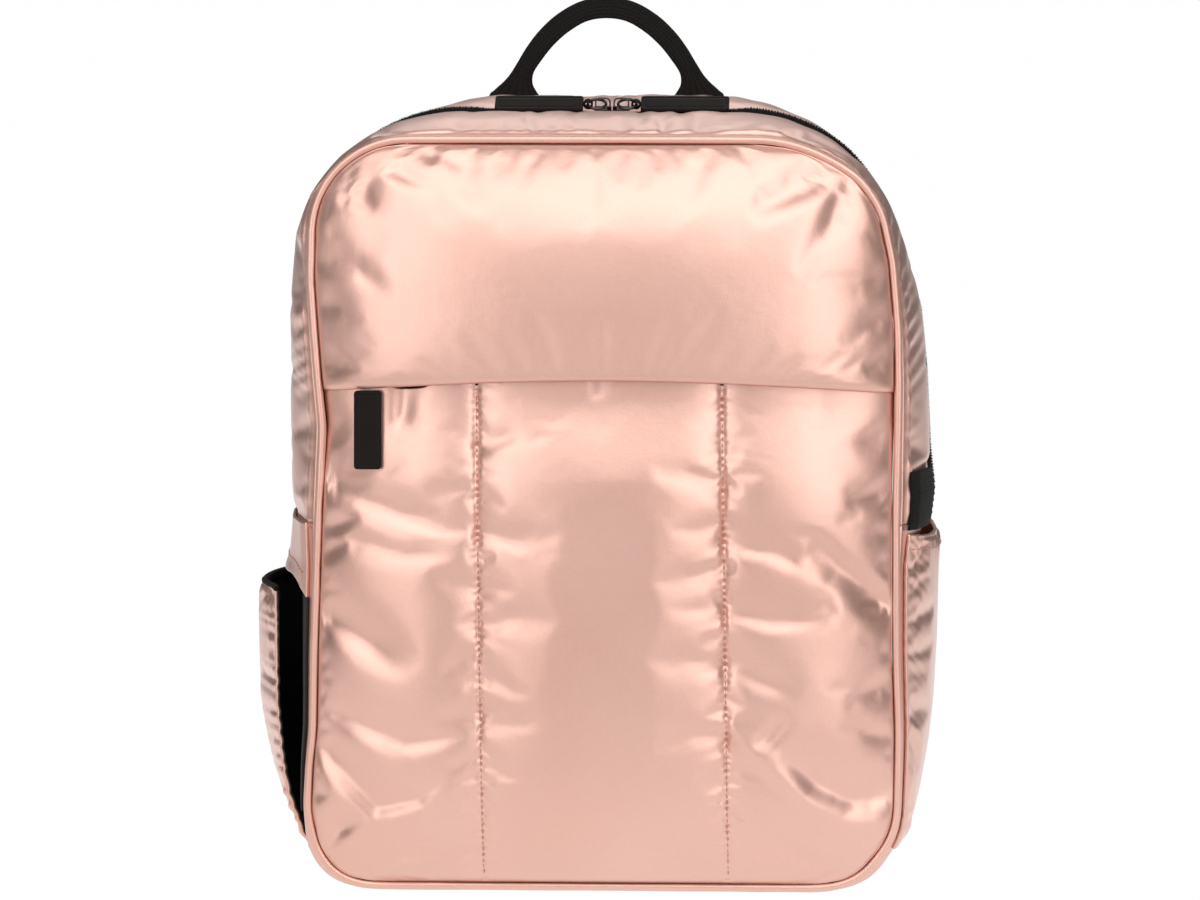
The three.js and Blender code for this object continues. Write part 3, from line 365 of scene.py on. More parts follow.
def settle(points, pinned, grow, pressure, bending, cap, frames=22):
    """Lets a grid of cloth grow and fill out between its pinned points, and returns where it lies."""
    rows, columns = points.shape[:2]
    piece = mesh_object("settling", points.reshape(-1, 3), grid_faces(rows, columns))
    group = piece.vertex_groups.new(name="pinned")
    group.add([int(i) for i in np.nonzero(pinned.ravel())[0]], 1.0, "REPLACE")
    cloth = piece.modifiers.new("cloth", "CLOTH")
    cloth.settings.quality = 6
    cloth.settings.mass = 0.2
    cloth.settings.tension_stiffness = 20
    cloth.settings.compression_stiffness = 20
    cloth.settings.shear_stiffness = 8
    cloth.settings.bending_stiffness = bending
    cloth.settings.air_damping = 3
    cloth.settings.vertex_group_mass = "pinned"
    cloth.settings.shrink_min = -grow
    cloth.settings.use_pressure = True
    cloth.settings.uniform_pressure_force = pressure
    cloth.settings.effector_weights.gravity = 0
    cloth.collision_settings.use_collision = False
    cloth.point_cache.frame_start = 1
    cloth.point_cache.frame_end = frames
    for at in range(1, frames + 1):
        bpy.context.scene.frame_set(at)
    settled = piece.evaluated_get(bpy.context.evaluated_depsgraph_get()).to_mesh()
    flat = np.empty(rows * columns * 3)
    settled.vertices.foreach_get("co", flat)
    bpy.context.scene.frame_set(1)
    bpy.data.objects.remove(piece)
    moved = flat.reshape(rows, columns, 3) / MM - points
    far = np.linalg.norm(moved, axis=2, keepdims=True)
    return points + moved * np.minimum(1, cap / np.maximum(far, 1e-6))


# Shapes

def closed_pair(name, outer, inner):
    """A closed piece from the grids of its outer and inner faces."""
    rows, columns = outer.shape[:2]
    count = rows * columns
    places = grid_places(outer).reshape(-1, 2)
    front = grid_faces(rows, columns)
    back = grid_faces(rows, columns, count)[:, ::-1]
    ring = np.concatenate([
        np.arange(columns), np.arange(1, rows) * columns + columns - 1,
        (rows - 1) * columns + np.arange(columns - 2, -1, -1), np.arange(rows - 2, 0, -1) * columns,
    ])
    after = np.roll(ring, -1)
    rim = np.stack([ring + count, after + count, after, ring], axis=1)
    points = np.concatenate([outer.reshape(-1, 3), inner.reshape(-1, 3)])
    return mesh_object(name, points, np.concatenate([front, back, rim]), np.concatenate([places, places]))


def closed_sheet(name, outer, thickness):
    """A closed sheet of cloth from the grid of its outer face."""
    return closed_pair(name, outer, outer - grid_normals(outer) * thickness)


def unit(vectors):
    return vectors / np.maximum(np.linalg.norm(vectors, axis=-1, keepdims=True), 1e-9)


def round_profile(sides, power=2.0):
    """Places round a section, from a circle at power 2 to nearly a rectangle at power 8."""
    turn = (np.arange(sides) + 0.5) * 2 * math.pi / sides
    cos, sin = np.cos(turn), np.sin(turn)
    return np.stack([np.sign(cos) * np.abs(cos) ** (2 / power), np.sign(sin) * np.abs(sin) ** (2 / power)], axis=1)


def sweep(name, centres, across, through, profile, closed=False):
    """A solid swept along centres. across and through are its half width and half thickness at each."""
    sides = len(profile)
    rings = centres[:, None] + across[:, None] * profile[:, :1] + through[:, None] * profile[:, 1:]
    count = len(centres)
    looped = np.concatenate([rings, rings[:1]]) if closed else rings
    places = grid_places(looped)[:count]
    faces = grid_faces(count, sides, wrap=True)
    if closed:
        last = np.arange(sides) + (count - 1) * sides
        first = np.arange(sides)
        seam = np.stack([last, np.roll(last, -1), np.roll(first, -1), first], axis=1)
        faces = np.concatenate([faces, seam])
    else:
        near = np.array([[i, i + 1, sides - 2 - i, sides - 1 - i] for i in range(sides // 2 - 1)])
        far = near + (count - 1) * sides
        faces = np.concatenate([faces, near[:, ::-1], far])
    points = rings.reshape(-1, 3)
    corner = points[faces[0]]
    outward = np.cross(corner[1] - corner[0], corner[2] - corner[0]) @ (corner[0] - centres[0])
    if outward < 0:
        faces = faces[:, ::-1]
    return mesh_object(name, points, faces, places.reshape(-1, 2))


def smoothed(rows, count):
    """Rows of numbers along a smooth line through the rows given, evenly spaced by their first three columns."""
    rows = np.asarray(rows, float)
    ends = np.concatenate([[2 * rows[0] - rows[1]], rows, [2 * rows[-1] - rows[-2]]])
    share = np.linspace(0, 1, 12, endpoint=False)[:, None]
    fine = []
    for a, b, c, d in zip(ends, ends[1:], ends[2:], ends[3:]):
        fine.append(b + share / 2 * (c - a + share * (2 * a - 5 * b + 4 * c - d + share * (3 * (b - c) + d - a))))
    fine = np.concatenate(fine + [rows[-1:]])
    along = np.concatenate([[0], np.cumsum(np.linalg.norm(np.diff(fine[:, :3], axis=0), axis=1))])
    places = np.linspace(0, along[-1], count)
    return np.stack([np.interp(places, along, numbers) for numbers in fine.T], axis=1)


def plate(name, outlines, thickness, bevel):
    """A flat plate with rounded edges in its own XY plane. The first outline is its edge, the others holes."""
    curve = bpy.data.curves.new(name, "CURVE")
    curve.dimensions = "2D"
    curve.fill_mode = "BOTH"
    curve.extrude = (thickness / 2 - bevel) * MM
    curve.bevel_depth = bevel * MM
    curve.bevel_resolution = 3
    curve.offset = -bevel * MM
    for outline in outlines:
        spline = curve.splines.new("POLY")
        spline.points.add(len(outline) - 1)
        for point, (x, y) in zip(spline.points, outline):
            point.co = (x * MM, y * MM, 0, 1)
        spline.use_cyclic_u = True
    holder = bpy.data.objects.new(name, curve)
    bpy.context.scene.collection.objects.link(holder)
    bpy.context.view_layer.update()
    mesh = bpy.data.meshes.new_from_object(holder.evaluated_get(bpy.context.evaluated_depsgraph_get()))
    bpy.data.objects.remove(holder)
    work = bmesh.new()
    work.from_mesh(mesh)
    bmesh.ops.remove_doubles(work, verts=work.verts, dist=0.002 * MM)
    bmesh.ops.recalc_face_normals(work, faces=work.faces)
    work.to_mesh(mesh)
    work.free()
    mesh.name = name
    mesh.shade_smooth()
    mesh.set_sharp_from_angle(angle=math.radians(40))
    piece = bpy.data.objects.new(name, mesh)
    bpy.context.scene.collection.objects.link(piece)
    return piece


def rounded(width, height, radius, steps=5):
    """The outline of a rectangle with rounded corners, centred on the origin."""
    points = []
    for quarter, (sx, sy) in enumerate([(1, 1), (-1, 1), (-1, -1), (1, -1)]):
        for step in range(steps + 1):
            turn = math.pi / 2 * (quarter + step / steps)
            x = sx * (width / 2 - radius) + radius * math.cos(turn)
            points.append((x, sy * (height / 2 - radius) + radius * math.sin(turn)))
    return points


def placed(piece, matrix):
    """Moves a piece's mesh by a matrix in millimetres."""
    turned = matrix.copy()
    turned.translation = matrix.translation * MM
    piece.data.transform(turned)
    piece.data.update()
    return piece


def merged(name, pieces):
    """One piece made of several."""
    work = bmesh.new()
    for piece in pieces:
        work.from_mesh(piece.data)
    mesh = bpy.data.meshes.new(name)
    work.to_mesh(mesh)
    work.free()
    for piece in pieces:
        bpy.data.objects.remove(piece)
    result = bpy.data.objects.new(name, mesh)
    bpy.context.scene.collection.objects.link(result)
    return result


# Stitching

THREAD = 0.55
STITCH_LENGTH = 2.5
STITCH_PITCH = 3.3


def stitches(name, line, normals, material, slot):
    """A row of thread stitches along a line of points on the cloth, each bowed up and sunk at both ends."""
    line = np.asarray(line, float)
    along = np.concatenate([[0], np.cumsum(np.linalg.norm(np.diff(line, axis=0), axis=1))])
    starts = np.arange(STITCH_PITCH, along[-1] - STITCH_PITCH, STITCH_PITCH)
    share = np.linspace(-0.5, 0.5, 5)
    places = starts[:, None] + share[None] * STITCH_LENGTH
    centres = np.stack([np.interp(places, along, line[:, k]) for k in range(3)], axis=-1)
    up = unit(np.stack([np.interp(starts, along, normals[:, k]) for k in range(3)], axis=-1))[:, None]
    forward = unit(centres[:, -1:] - centres[:, :1])
    side = np.cross(up, forward)
    bow = 1 - (2 * share) ** 2
    centres = centres + up * (THREAD * (0.75 * bow - 0.15))[None, :, None]
    radius = THREAD / 2 * (0.55 + 0.45 * bow)
    turn = np.arange(6) * math.pi / 3
    ring = np.cos(turn)[:, None] * side[:, :, None] + np.sin(turn)[:, None] * up[:, :, None]
    points = centres[:, :, None] + radius[None, :, None, None] * ring
    sides = grid_faces(5, 6, wrap=True)
    ends = np.array([[3, 2, 1, 0], [5, 4, 3, 0], [24, 25, 26, 27], [24, 27, 28, 29]])
    block = np.concatenate([sides[:, ::-1], ends[:, ::-1]])
    faces = (np.arange(len(starts))[:, None, None] * 30 + block[None]).reshape(-1, 4)
    piece = mesh_object(name, points.reshape(-1, 3), faces, np.zeros((len(starts) * 30, 2)))
    return dressed(piece, material, slot)


def dressed(piece, material, slot, *nodes):
    """Gives a piece its material and the body that it rides on, and hides the CAD nodes that it stands for."""
    piece.data.materials.clear()
    piece.data.materials.append(material)
    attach(piece, "root")
    if nodes:
        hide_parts(*nodes)
    return piece


# Materials

class Value:
    """A number from a material's node, on which Python's operators work."""

    def __init__(self, finish, socket):
        self.finish = finish
        self.socket = socket

    def math(self, operation, *others):
        return self.finish.node("ShaderNodeMath", {"operation": operation}, self, *others)

    def __add__(self, other):
        return self.math("ADD", other)

    def __mul__(self, other):
        return self.math("MULTIPLY", other)

    def __sub__(self, other):
        return self.math("SUBTRACT", other)

    def __rsub__(self, other):
        return self.finish.node("ShaderNodeMath", {"operation": "SUBTRACT"}, other, self)

    def __pow__(self, other):
        return self.math("POWER", other)

    __radd__ = __add__
    __rmul__ = __mul__


class Finish:
    """A material that is built from nodes."""

    def __init__(self, name, gloss=0.5, **surface):
        self.material = bpy.data.materials.new(name)
        self.material.use_nodes = True
        self.tree = self.material.node_tree
        self.surface = self.tree.nodes["Principled BSDF"]
        self.surface.inputs["Specular IOR Level"].default_value = gloss
        for socket, value in surface.items():
            self.surface.inputs[socket.replace("_", " ").title()].default_value = value

    def node(self, kind, settings, *values, output=0, **sockets):
        """Adds a node: its settings first, then what goes into its sockets, in order or by name."""
        node = self.tree.nodes.new(kind)
        for setting, value in settings.items():
            if setting == "stops":
                ramp = node.color_ramp
                for place, colour in value[1:-1]:
                    ramp.elements.new(place).color = colour
                ramp.elements[0].position, ramp.elements[0].color = value[0]
                ramp.elements[-1].position, ramp.elements[-1].color = value[-1]
            else:
                setattr(node, setting, value)
        named = {socket.replace("_", " ").title(): value for socket, value in sockets.items()}
        for key, value in [*enumerate(values), *named.items()]:
            self.feed(node.inputs[key], value)
        return Value(self, node.outputs[output])

    def feed(self, socket, value):
        if isinstance(value, Value):
            self.tree.links.new(value.socket, socket)
        elif value is not None:
            socket.default_value = value

    def colour(self, factor, first, second):
        node = self.tree.nodes.new("ShaderNodeMix")
        node.data_type = "RGBA"
        for key, value in ((0, factor), (6, first), (7, second)):
            self.feed(node.inputs[key], value)
        return Value(self, node.outputs[2])

    def places(self, uv=False):
        return self.node("ShaderNodeTexCoord", {}, output=2 if uv else 3)

    def stretched(self, places, scale):
        return self.node("ShaderNodeMapping", {}, Vector=places, Scale=scale)

    def noise(self, places, scale, detail=2.0, roughness=0.5):
        return self.node("ShaderNodeTexNoise", {}, Vector=places, Scale=scale, Detail=detail, Roughness=roughness)

    def threads(self, places, direction, pitch, warp=0.0):
        """Ridges of thread across one direction, pitch millimetres apart."""
        settings = {"wave_type": "BANDS", "bands_direction": direction, "wave_profile": "SIN"}
        scale = 2 * math.pi / (20 * pitch * MM)
        return self.node("ShaderNodeTexWave", settings, Vector=places, Scale=scale, Distortion=warp)

    def bump(self, height, distance, strength=1.0, after=None):
        return self.node("ShaderNodeBump", {}, Height=height, Distance=distance * MM, Strength=strength, Normal=after)

    def wear(self, **sockets):
        """Feeds what changes over the surface into its shader."""
        for socket, value in sockets.items():
            self.feed(self.surface.inputs[socket.replace("_", " ").title()], value)
        return self.material


def sewn_puckers(cloth, at):
    """Small puckers close beside the two channel seams, as a height."""
    split = cloth.tree.nodes.new("ShaderNodeSeparateXYZ")
    cloth.feed(split.inputs[0], at)
    across, up = Value(cloth, split.outputs["X"]), Value(cloth, split.outputs["Z"])
    wander = cloth.noise(at, 60, 1.0)
    height = 0
    for seam in (left_seam_x, right_seam_x):
        lean = (seam(265) - seam(0)) / 265
        off = (across - up * lean - seam(0) * MM).math("ABSOLUTE")
        near = (1 - off * (1 / (PUCKER_REACH * MM))).math("MAXIMUM", 0.0) ** 2.0
        ripple = (up * (2 * math.pi / (PUCKER_PITCH * MM)) + off * 500 + wander * 14).math("SINE")
        height = ripple * near + height
    return height


def satin_finish(name, light, deep, metallic, sewn=False):
    """Satin with a soft metallic sheen: fine yarns both ways, small crinkles and a slow shift of colour."""
    cloth = Finish(name, 0.6, metallic=metallic, sheen_weight=0.02, sheen_roughness=0.4)
    cloth.surface.inputs["Coat Weight"].default_value = 0.9
    cloth.surface.inputs["Coat Roughness"].default_value = 0.36
    cloth.surface.inputs["Coat IOR"].default_value = 1.65
    at = cloth.places()
    weft = cloth.noise(cloth.stretched(at, (260, 260, 2400)), 1.0, 2.0)
    warp = cloth.noise(cloth.stretched(at, (2400, 2400, 260)), 1.0, 2.0)
    yarns = weft * 0.5 + warp * 0.5
    crinkle = cloth.noise(at, 110, 4.0, 0.55)
    slow = cloth.noise(at, 9, 2.0)
    tint = cloth.node("ShaderNodeMapRange", {}, slow * 0.5 + yarns * 0.5, 0.35, 0.65, 0.0, 1.0)
    fine = cloth.bump(yarns, 0.07)
    if sewn:
        fine = cloth.bump(sewn_puckers(cloth, at), 0.2, 1.0, fine)
    return cloth.wear(
        base_color=cloth.colour(tint, deep, light),
        roughness=0.31 + yarns * 0.1 + slow * 0.06,
        normal=cloth.bump(crinkle, 0.16, 1.0, fine),
    )


def woven_finish(name, light, deep, pitch, height, roughness):
    """Woven tape or webbing: ribs both ways along the piece's own cloth."""
    tape = Finish(name, 0.15, sheen_weight=0.02, sheen_roughness=0.5)
    at = tape.places(uv=True)
    ribs = tape.threads(at, "Y", pitch) * tape.threads(at, "X", pitch * 1.6)
    fuzz = tape.noise(at, 900, 3.0)
    relief = ribs * 0.8 + fuzz * 0.3
    return tape.wear(
        base_color=tape.colour(relief, deep, light),
        roughness=roughness - 0.12 * ribs,
        normal=tape.bump(relief, height),
    )


def moulded_finish(name, light, deep, roughness, grain, height, **surface):
    """Moulded plastic, rubber or plated metal: a fine grain with faint marks of handling."""
    body = Finish(name, **surface)
    at = body.places()
    speckle = body.noise(at, grain, 3.0)
    handled = body.noise(at, 60, 3.0, 0.6)
    return body.wear(
        base_color=body.colour(handled, deep, light),
        roughness=roughness - 0.06 + 0.12 * handled,
        normal=body.bump(speckle, height),
    )


PUCKER_PITCH = 4.4
PUCKER_REACH = 5.5
SATIN = satin_finish("satin", (0.83, 0.495, 0.405, 1), (0.76, 0.425, 0.335, 1), 0.85)
SATIN_SEWN = satin_finish("satin_sewn", (0.83, 0.495, 0.405, 1), (0.76, 0.425, 0.335, 1), 0.85, True)
SATIN_TRIM = satin_finish("satin_trim", (0.81, 0.47, 0.38, 1), (0.74, 0.40, 0.31, 1), 0.75)
WEBBING = woven_finish("webbing", (0.014, 0.012, 0.011, 1), (0.004, 0.0035, 0.003, 1), 1.3, 0.2, 0.8)
ZIP_TAPE = woven_finish("zip_tape", (0.012, 0.011, 0.010, 1), (0.004, 0.0035, 0.003, 1), 0.7, 0.12, 0.7)
TAB_BLACK = moulded_finish("tab_black", (0.015, 0.0118, 0.0105, 1), (0.010, 0.008, 0.007, 1), 0.36, 2500, 0.02, gloss=0.05)
DARK_METAL = moulded_finish("dark_metal", (0.10, 0.095, 0.09, 1), (0.06, 0.055, 0.05, 1), 0.28, 900, 0.01, metallic=1.0)
BUCKLE_BLACK = moulded_finish("buckle_black", (0.012, 0.011, 0.010, 1), (0.007, 0.006, 0.006, 1), 0.42, 1800, 0.03)
LINING = woven_finish("lining", (0.034, 0.030, 0.028, 1), (0.014, 0.012, 0.011, 1), 0.5, 0.06, 0.6)
THREAD_PINK = woven_finish("thread_pink", (0.74, 0.44, 0.36, 1), (0.5, 0.25, 0.19, 1), 0.4, 0.05, 0.6)
THREAD_BLACK = woven_finish("thread_black", (0.03, 0.028, 0.026, 1), (0.01, 0.009, 0.009, 1), 0.4, 0.05, 0.6)


# Body of the bag

FRONT_EDGE_Y = depth_y(0) + PIPING_RADIUS + GAP
BACK_EDGE_Y = depth_y(1) - PIPING_RADIUS - GAP
ZIP_Y = depth_y(ZIP_DEEP)
LOOP_TOP = 220
CHANCE = np.random.default_rng(11)


def edge_spaced(low, high, count, crowding=0.07):
    """Places from low to high, closer together at both ends."""
    share = np.linspace(0, 1, count)
    return low + (high - low) * (share - crowding * np.sin(2 * math.pi * share))


def crowded(low, high, count, spots, spread, strength):
    """Places from low to high, closer together at both ends and round each spot."""
    fine = np.linspace(low, high, 3000)
    density = np.ones_like(fine)
    for spot in (low, high, *spots):
        density += strength * np.exp(-((fine - spot) / spread) ** 2)
    along = np.concatenate([[0], np.cumsum((density[1:] + density[:-1]) / 2)])
    return np.interp(np.linspace(0, along[-1], count), along, fine)


def laid(points, x, z):
    """The depths of a grid of cloth at places on it, evened out along the line."""
    flat = points.reshape(-1, 3)
    y = [flat[np.argmin((flat[:, 0] - at_x) ** 2 + (flat[:, 2] - at_z) ** 2), 1] for at_x, at_z in zip(x, z)]
    return np.convolve(np.pad(y, 2, "edge"), np.ones(5) / 5, "valid")


def relaxed(points, times):
    """Evens out a grid of points, keeping its border."""
    points = points.copy()
    for _ in range(times):
        around = points[:-2, 1:-1] + points[2:, 1:-1] + points[1:-1, :-2] + points[1:-1, 2:]
        points[1:-1, 1:-1] = points[1:-1, 1:-1] / 2 + around / 8
    return points


def border(points, wide=1):
    pinned = np.ones(points.shape[:2], bool)
    pinned[wide:-wide, wide:-wide] = False
    return pinned


def gusset_grid(stretch, ys, columns, offset):
    rows = []
    for y in ys:
        section = section_at(y / BODY_DEPTH + 0.5)
        x, z = outline_points(section, stretch, -offset, np.linspace(0, 1, columns))
        rows.append(np.stack([x, np.full_like(x, y), z], axis=1))
    return relaxed(np.array(rows), 3)


def waves(count, scale, seed):
    """A smooth chance line from -1 to 1, with about one turn every scale steps."""
    chance = np.random.default_rng(seed)
    knots = chance.uniform(-1, 1, int(count / scale) + 4)
    return np.interp(np.arange(count) / scale, np.arange(len(knots)), knots)


def welted(points, from_start, strength):
    """Raises the seam allowance that lies beside a piped edge, with the shadow line between them."""
    across = np.concatenate([[0], np.cumsum(np.linalg.norm(np.diff(points, axis=0), axis=2).mean(axis=1))])
    off = across if from_start else across[-1] - across
    ridge = strength * (np.exp(-((off - 5.6) / 1.7) ** 2) - 0.9 * np.exp(-((off - 2.6) / 1.1) ** 2))
    return points + grid_normals(points) * ridge[:, None, None]


def gathered(points, from_start, size, reach, seed, pitch=9.5):
    """Small gathers that run in from a sewn edge, deeper in some places than in others."""
    across = np.concatenate([[0], np.cumsum(np.linalg.norm(np.diff(points, axis=0), axis=2).mean(axis=1))])
    along = np.concatenate([[0], np.cumsum(np.linalg.norm(np.diff(points, axis=1), axis=2).mean(axis=0))])
    off = (across if from_start else across[-1] - across)[:, None]
    strength = np.clip(0.35 + 0.9 * waves(len(along), 13, seed), 0, 1)[None]
    drift = waves(len(along), 8, seed + 1)[None] * 4.5
    slant = 0.25 * off
    ripple = np.sin(2 * math.pi * (along[None] + slant) / pitch + drift)
    rise = np.clip((off - 3) / 5, 0, 1)
    return points + grid_normals(points) * (size * strength * ripple * rise * np.exp(-off / reach))[..., None]


def sunk_beside_zip(points, from_start):
    """Draws a strip down where the zip is sewn to it, so that the coil stands clear."""
    across = np.concatenate([[0], np.cumsum(np.linalg.norm(np.diff(points, axis=0), axis=2).mean(axis=1))])
    off = across if from_start else across[-1] - across
    return points - grid_normals(points) * (ZIP_SINK * np.exp(-((off / ZIP_SINK_REACH) ** 2)))[:, None, None]


def add_gussets():
    """The cloth strips between the two pipings, either side of the main zip and round the foot."""
    skin = CLOTH / 2
    near = gusset_grid("top", edge_spaced(FRONT_EDGE_Y, ZIP_Y - ZIP_HALF - GAP, 18, 0.1), 230, skin)
    far = gusset_grid("top", edge_spaced(ZIP_Y + ZIP_HALF + GAP, BACK_EDGE_Y, 18, 0.1), 230, skin)
    for name, points, piped_first, seed in (("gusset_front", near, True, 3), ("gusset_back", far, False, 5)):
        points = gathered(points, piped_first, 1.7, 16, seed)
        points = gathered(points, not piped_first, 0.5, 9, seed + 20)
        points = gathered(points, piped_first, 1.3, 45, seed + 40, 27)
        under_loop = (points[..., 2] < LOOP_TOP) & (points[..., 0] > 0)
        pinned = border(points, 2) | under_loop
        points = settle(points, pinned, 0.014, 5, 1.0, 3.0)
        points = sunk_beside_zip(welted(finer(points), piped_first, 1.0), not piped_first)
        piece = dressed(closed_sheet(name + "_cloth", points, CLOTH), SATIN, "satin", name)
        beside = -4 if piped_first else 3
        seam = points[beside, 4:-4]
        stitches("zip_topstitch_" + name[7:], seam, grid_normals(points)[beside, 4:-4], THREAD_PINK, "satin_trim")
    low = gusset_grid("foot", edge_spaced(FRONT_EDGE_Y, BACK_EDGE_Y, 48, 0.12), 190, skin)
    low = welted(welted(low, True, 0.8), False, 0.8)
    low[..., 2] = np.maximum(low[..., 2], 0)
    piece = dressed(closed_sheet("gusset_lower_cloth", low, CLOTH), SATIN, "satin", "gusset_lower")


def add_piping(name, deep, node):
    section = section_at(deep)
    over = np.stack(outline_points(section, "top", 0, np.linspace(0, 1, 260)), axis=1)
    under = np.stack(outline_points(section, "foot", 0, np.linspace(0, 1, 240)), axis=1)
    loop = np.concatenate([over[:-1], under[:-1]])
    for _ in range(4):
        loop = (np.roll(loop, 1, axis=0) + 2 * loop + np.roll(loop, -1, axis=0)) / 4
    run = unit(np.roll(loop, -1, axis=0) - np.roll(loop, 1, axis=0))
    out = np.stack([-run[:, 1], np.zeros(len(run)), run[:, 0]], axis=1)
    centres = np.stack([loop[:, 0], np.full(len(loop), depth_y(deep)), loop[:, 1]], axis=1)
    radius = PIPING_RADIUS * (1 + 0.05 * waves(len(loop), 5, 31))[:, None]
    back = np.tile([0.0, 1.0, 0.0], (len(loop), 1))
    piece = sweep(name, centres, out * radius, back * radius, round_profile(16), closed=True)
    dressed(piece, SATIN_TRIM, "satin_trim", node)


def panel_grid(face, rise, low_edge, high_edge, shares, folds, edge_lift):
    """A grid over one of the front's panels. edge_lift(x, share) is how far its arched edge lifts a row."""
    rows = []
    for share in rise:
        low = low_edge + (high_edge - low_edge) * share
        left = outline_x(FRONT, np.array([low]), -1, CLOTH_INSET)[0]
        right = outline_x(FRONT, np.array([low]), 1, CLOTH_INSET)[0]
        x = left + (right - left) * shares
        z = low + edge_lift(x, share)
        rows.append(np.stack([x, face(x, z, folds), z], axis=1))
    return np.array(rows)


def add_flap():
    lift = lambda x, share: (flap_edge(x) - FLAP_EDGE) * (1 - share)
    shares = edge_spaced(0, 1, 114, 0.05)
    points = panel_grid(front_face, edge_spaced(0, 1, 56), FLAP_EDGE, CLOTH_TOP, shares, FLAP_FOLDS, lift)
    points = settle(points, border(points, 2), 0.006, 6, 2.0, 3.0)
    points = relaxed(finer(points), 3)
    off = points[..., 2] - flap_edge(points[..., 0])
    points[..., 1] += 2.2 * np.exp(-np.maximum(off, 0) / 1.3)
    piece = dressed(closed_sheet("flap_padded", points, PAD), SATIN, "satin", "front_flap_panel")


def seam_pucker(x, z):
    """Small puckers that fan out from the two sewn channel seams."""
    depth = np.zeros_like(x)
    for seam, seed in ((left_seam_x, 41), (right_seam_x, 47)):
        off = x - seam(z)
        for side in (-1, 1):
            chance = np.random.default_rng(seed + side)
            strength = np.interp(z, np.linspace(0, 280, 24), chance.uniform(-0.1, 1, 24)).clip(0, 1)
            turn = np.interp(z, np.linspace(0, 280, 26), chance.uniform(-3.5, 3.5, 26))
            ripple = np.sin(2 * math.pi * (z + 0.4 * np.abs(off)) / 10 + turn)
            beside = (side * off > 0) * (1 - np.exp(-np.abs(off) / 1.6)) * np.exp(-np.abs(off) / 7)
            depth += 0.62 * strength * ripple * beside
    return depth


def add_pocket_panel():
    top = FLAP_EDGE + FLAP_OVERLAP
    gape = lambda x: ZIP_GAPE * np.exp(-((x - ZIP_GAPE_X) / 13) ** 4)
    lift = lambda x, share: (flap_edge(x) - FLAP_EDGE) * share - gape(x) * share ** 12
    shares = crowded(0, 1, 124, (0.286, 0.711), 0.022, 2.2)
    points = panel_grid(pocket_face, edge_spaced(0, 1, 98, 0.05), CLOTH_FOOT, top, shares, POCKET_FOLDS, lift)
    x, z = points[..., 0], points[..., 2]
    seams = np.minimum(np.abs(x - left_seam_x(z)), np.abs(x - right_seam_x(z))) < 1.2
    under_tab = (np.abs(x - POCKET_TAB_X) < TAB_WIDTH / 2 + 2) & (z > flap_edge(x) - POCKET_TAB_LENGTH - 3)
    pinned = border(points, 2) | seams | under_tab | (z > flap_edge(x) - 5)
    free = settle(points, pinned, 0.006, 6, 2.0, 3.0)
    calm = np.clip((flap_edge(x) - 6 - z) / 45, 0.1, 1)[..., None]
    points = finer(points + (free - points) * calm)
    x, z = points[..., 0], points[..., 2]
    points[..., 1] += seam_pucker(x, z) * np.clip(3 * fullness(*front_shares(x, z)), 0, 1)
    piece = dressed(closed_sheet("pocket_padded", points, PAD), SATIN_SEWN, "satin", "front_pocket_panel")
    for word, seam in (("left", left_seam_x), ("right", right_seam_x)):
        z = np.linspace(PANEL_FOOT + 3, FLAP_EDGE + 4, 120)
        x = seam(z)
        line = np.stack([x, laid(points, x, z) - 0.15, z], axis=1)
        out = np.tile([0.0, -1.0, 0.0], (len(z), 1))
        stitches("channel_stitch_" + word, line, out, THREAD_PINK, "satin_trim")


# Zips and pulls

TOOTH_PITCH = 1.5
COIL_RISE = 0.95
TAB_COIL_RISE = 2.8
SIDE_COIL_RISE = 3.8


def zip_strip(name, centres, across, up, half, rise, material, slot, *nodes):
    """Woven tape with a coil down its middle. across and up are unit vectors at each centre, rise the coil's height."""
    shares = np.array([-1, -0.62, -0.5, -0.4, -0.24, -0.1, 0.1, 0.24, 0.4, 0.5, 0.62, 1])
    along = np.concatenate([[0], np.cumsum(np.linalg.norm(np.diff(centres, axis=0), axis=1))])
    round_top = np.sqrt(np.maximum(0, 1 - (shares / 0.5) ** 2))
    teeth = 0.7 + 0.3 * np.cos(2 * math.pi * along[:, None] / TOOTH_PITCH + 1.5 * np.sign(shares)[None])
    height = -0.1 + rise * round_top[None] * teeth
    outer = centres[:, None] + across[:, None] * (half * shares)[None, :, None] + up[:, None] * height[..., None]
    inner = centres[:, None] + across[:, None] * (half * shares)[None, :, None] - up[:, None] * 0.8
    return dressed(closed_pair(name, outer, inner), material, slot, *nodes)


def add_main_zip():
    section = section_at(ZIP_DEEP)
    x, z = outline_points(section, "top", 0, np.linspace(0, 1, 1500))
    centres = np.stack([x, np.full_like(x, ZIP_Y), z], axis=1)
    for _ in range(12):
        centres[1:-1] = (centres[:-2] + 2 * centres[1:-1] + centres[2:]) / 4
    run = unit(np.gradient(centres, axis=0))
    across = np.tile([0.0, -1.0, 0.0], (len(x), 1))
    up = np.cross(across, run)
    rise = np.interp(np.abs(x), [14, 18, 64, 72], [COIL_RISE, TAB_COIL_RISE, TAB_COIL_RISE, SIDE_COIL_RISE])[:, None]
    zip_strip("main_zip_coil", centres, across, up, ZIP_HALF, rise, ZIP_TAPE, "zip_black", "main_zip_tape")


POCKET_ZIP_HEIGHT = 16
POCKET_ZIP_RECESS = 10.5
POCKET_ZIP_REACH = 0.93


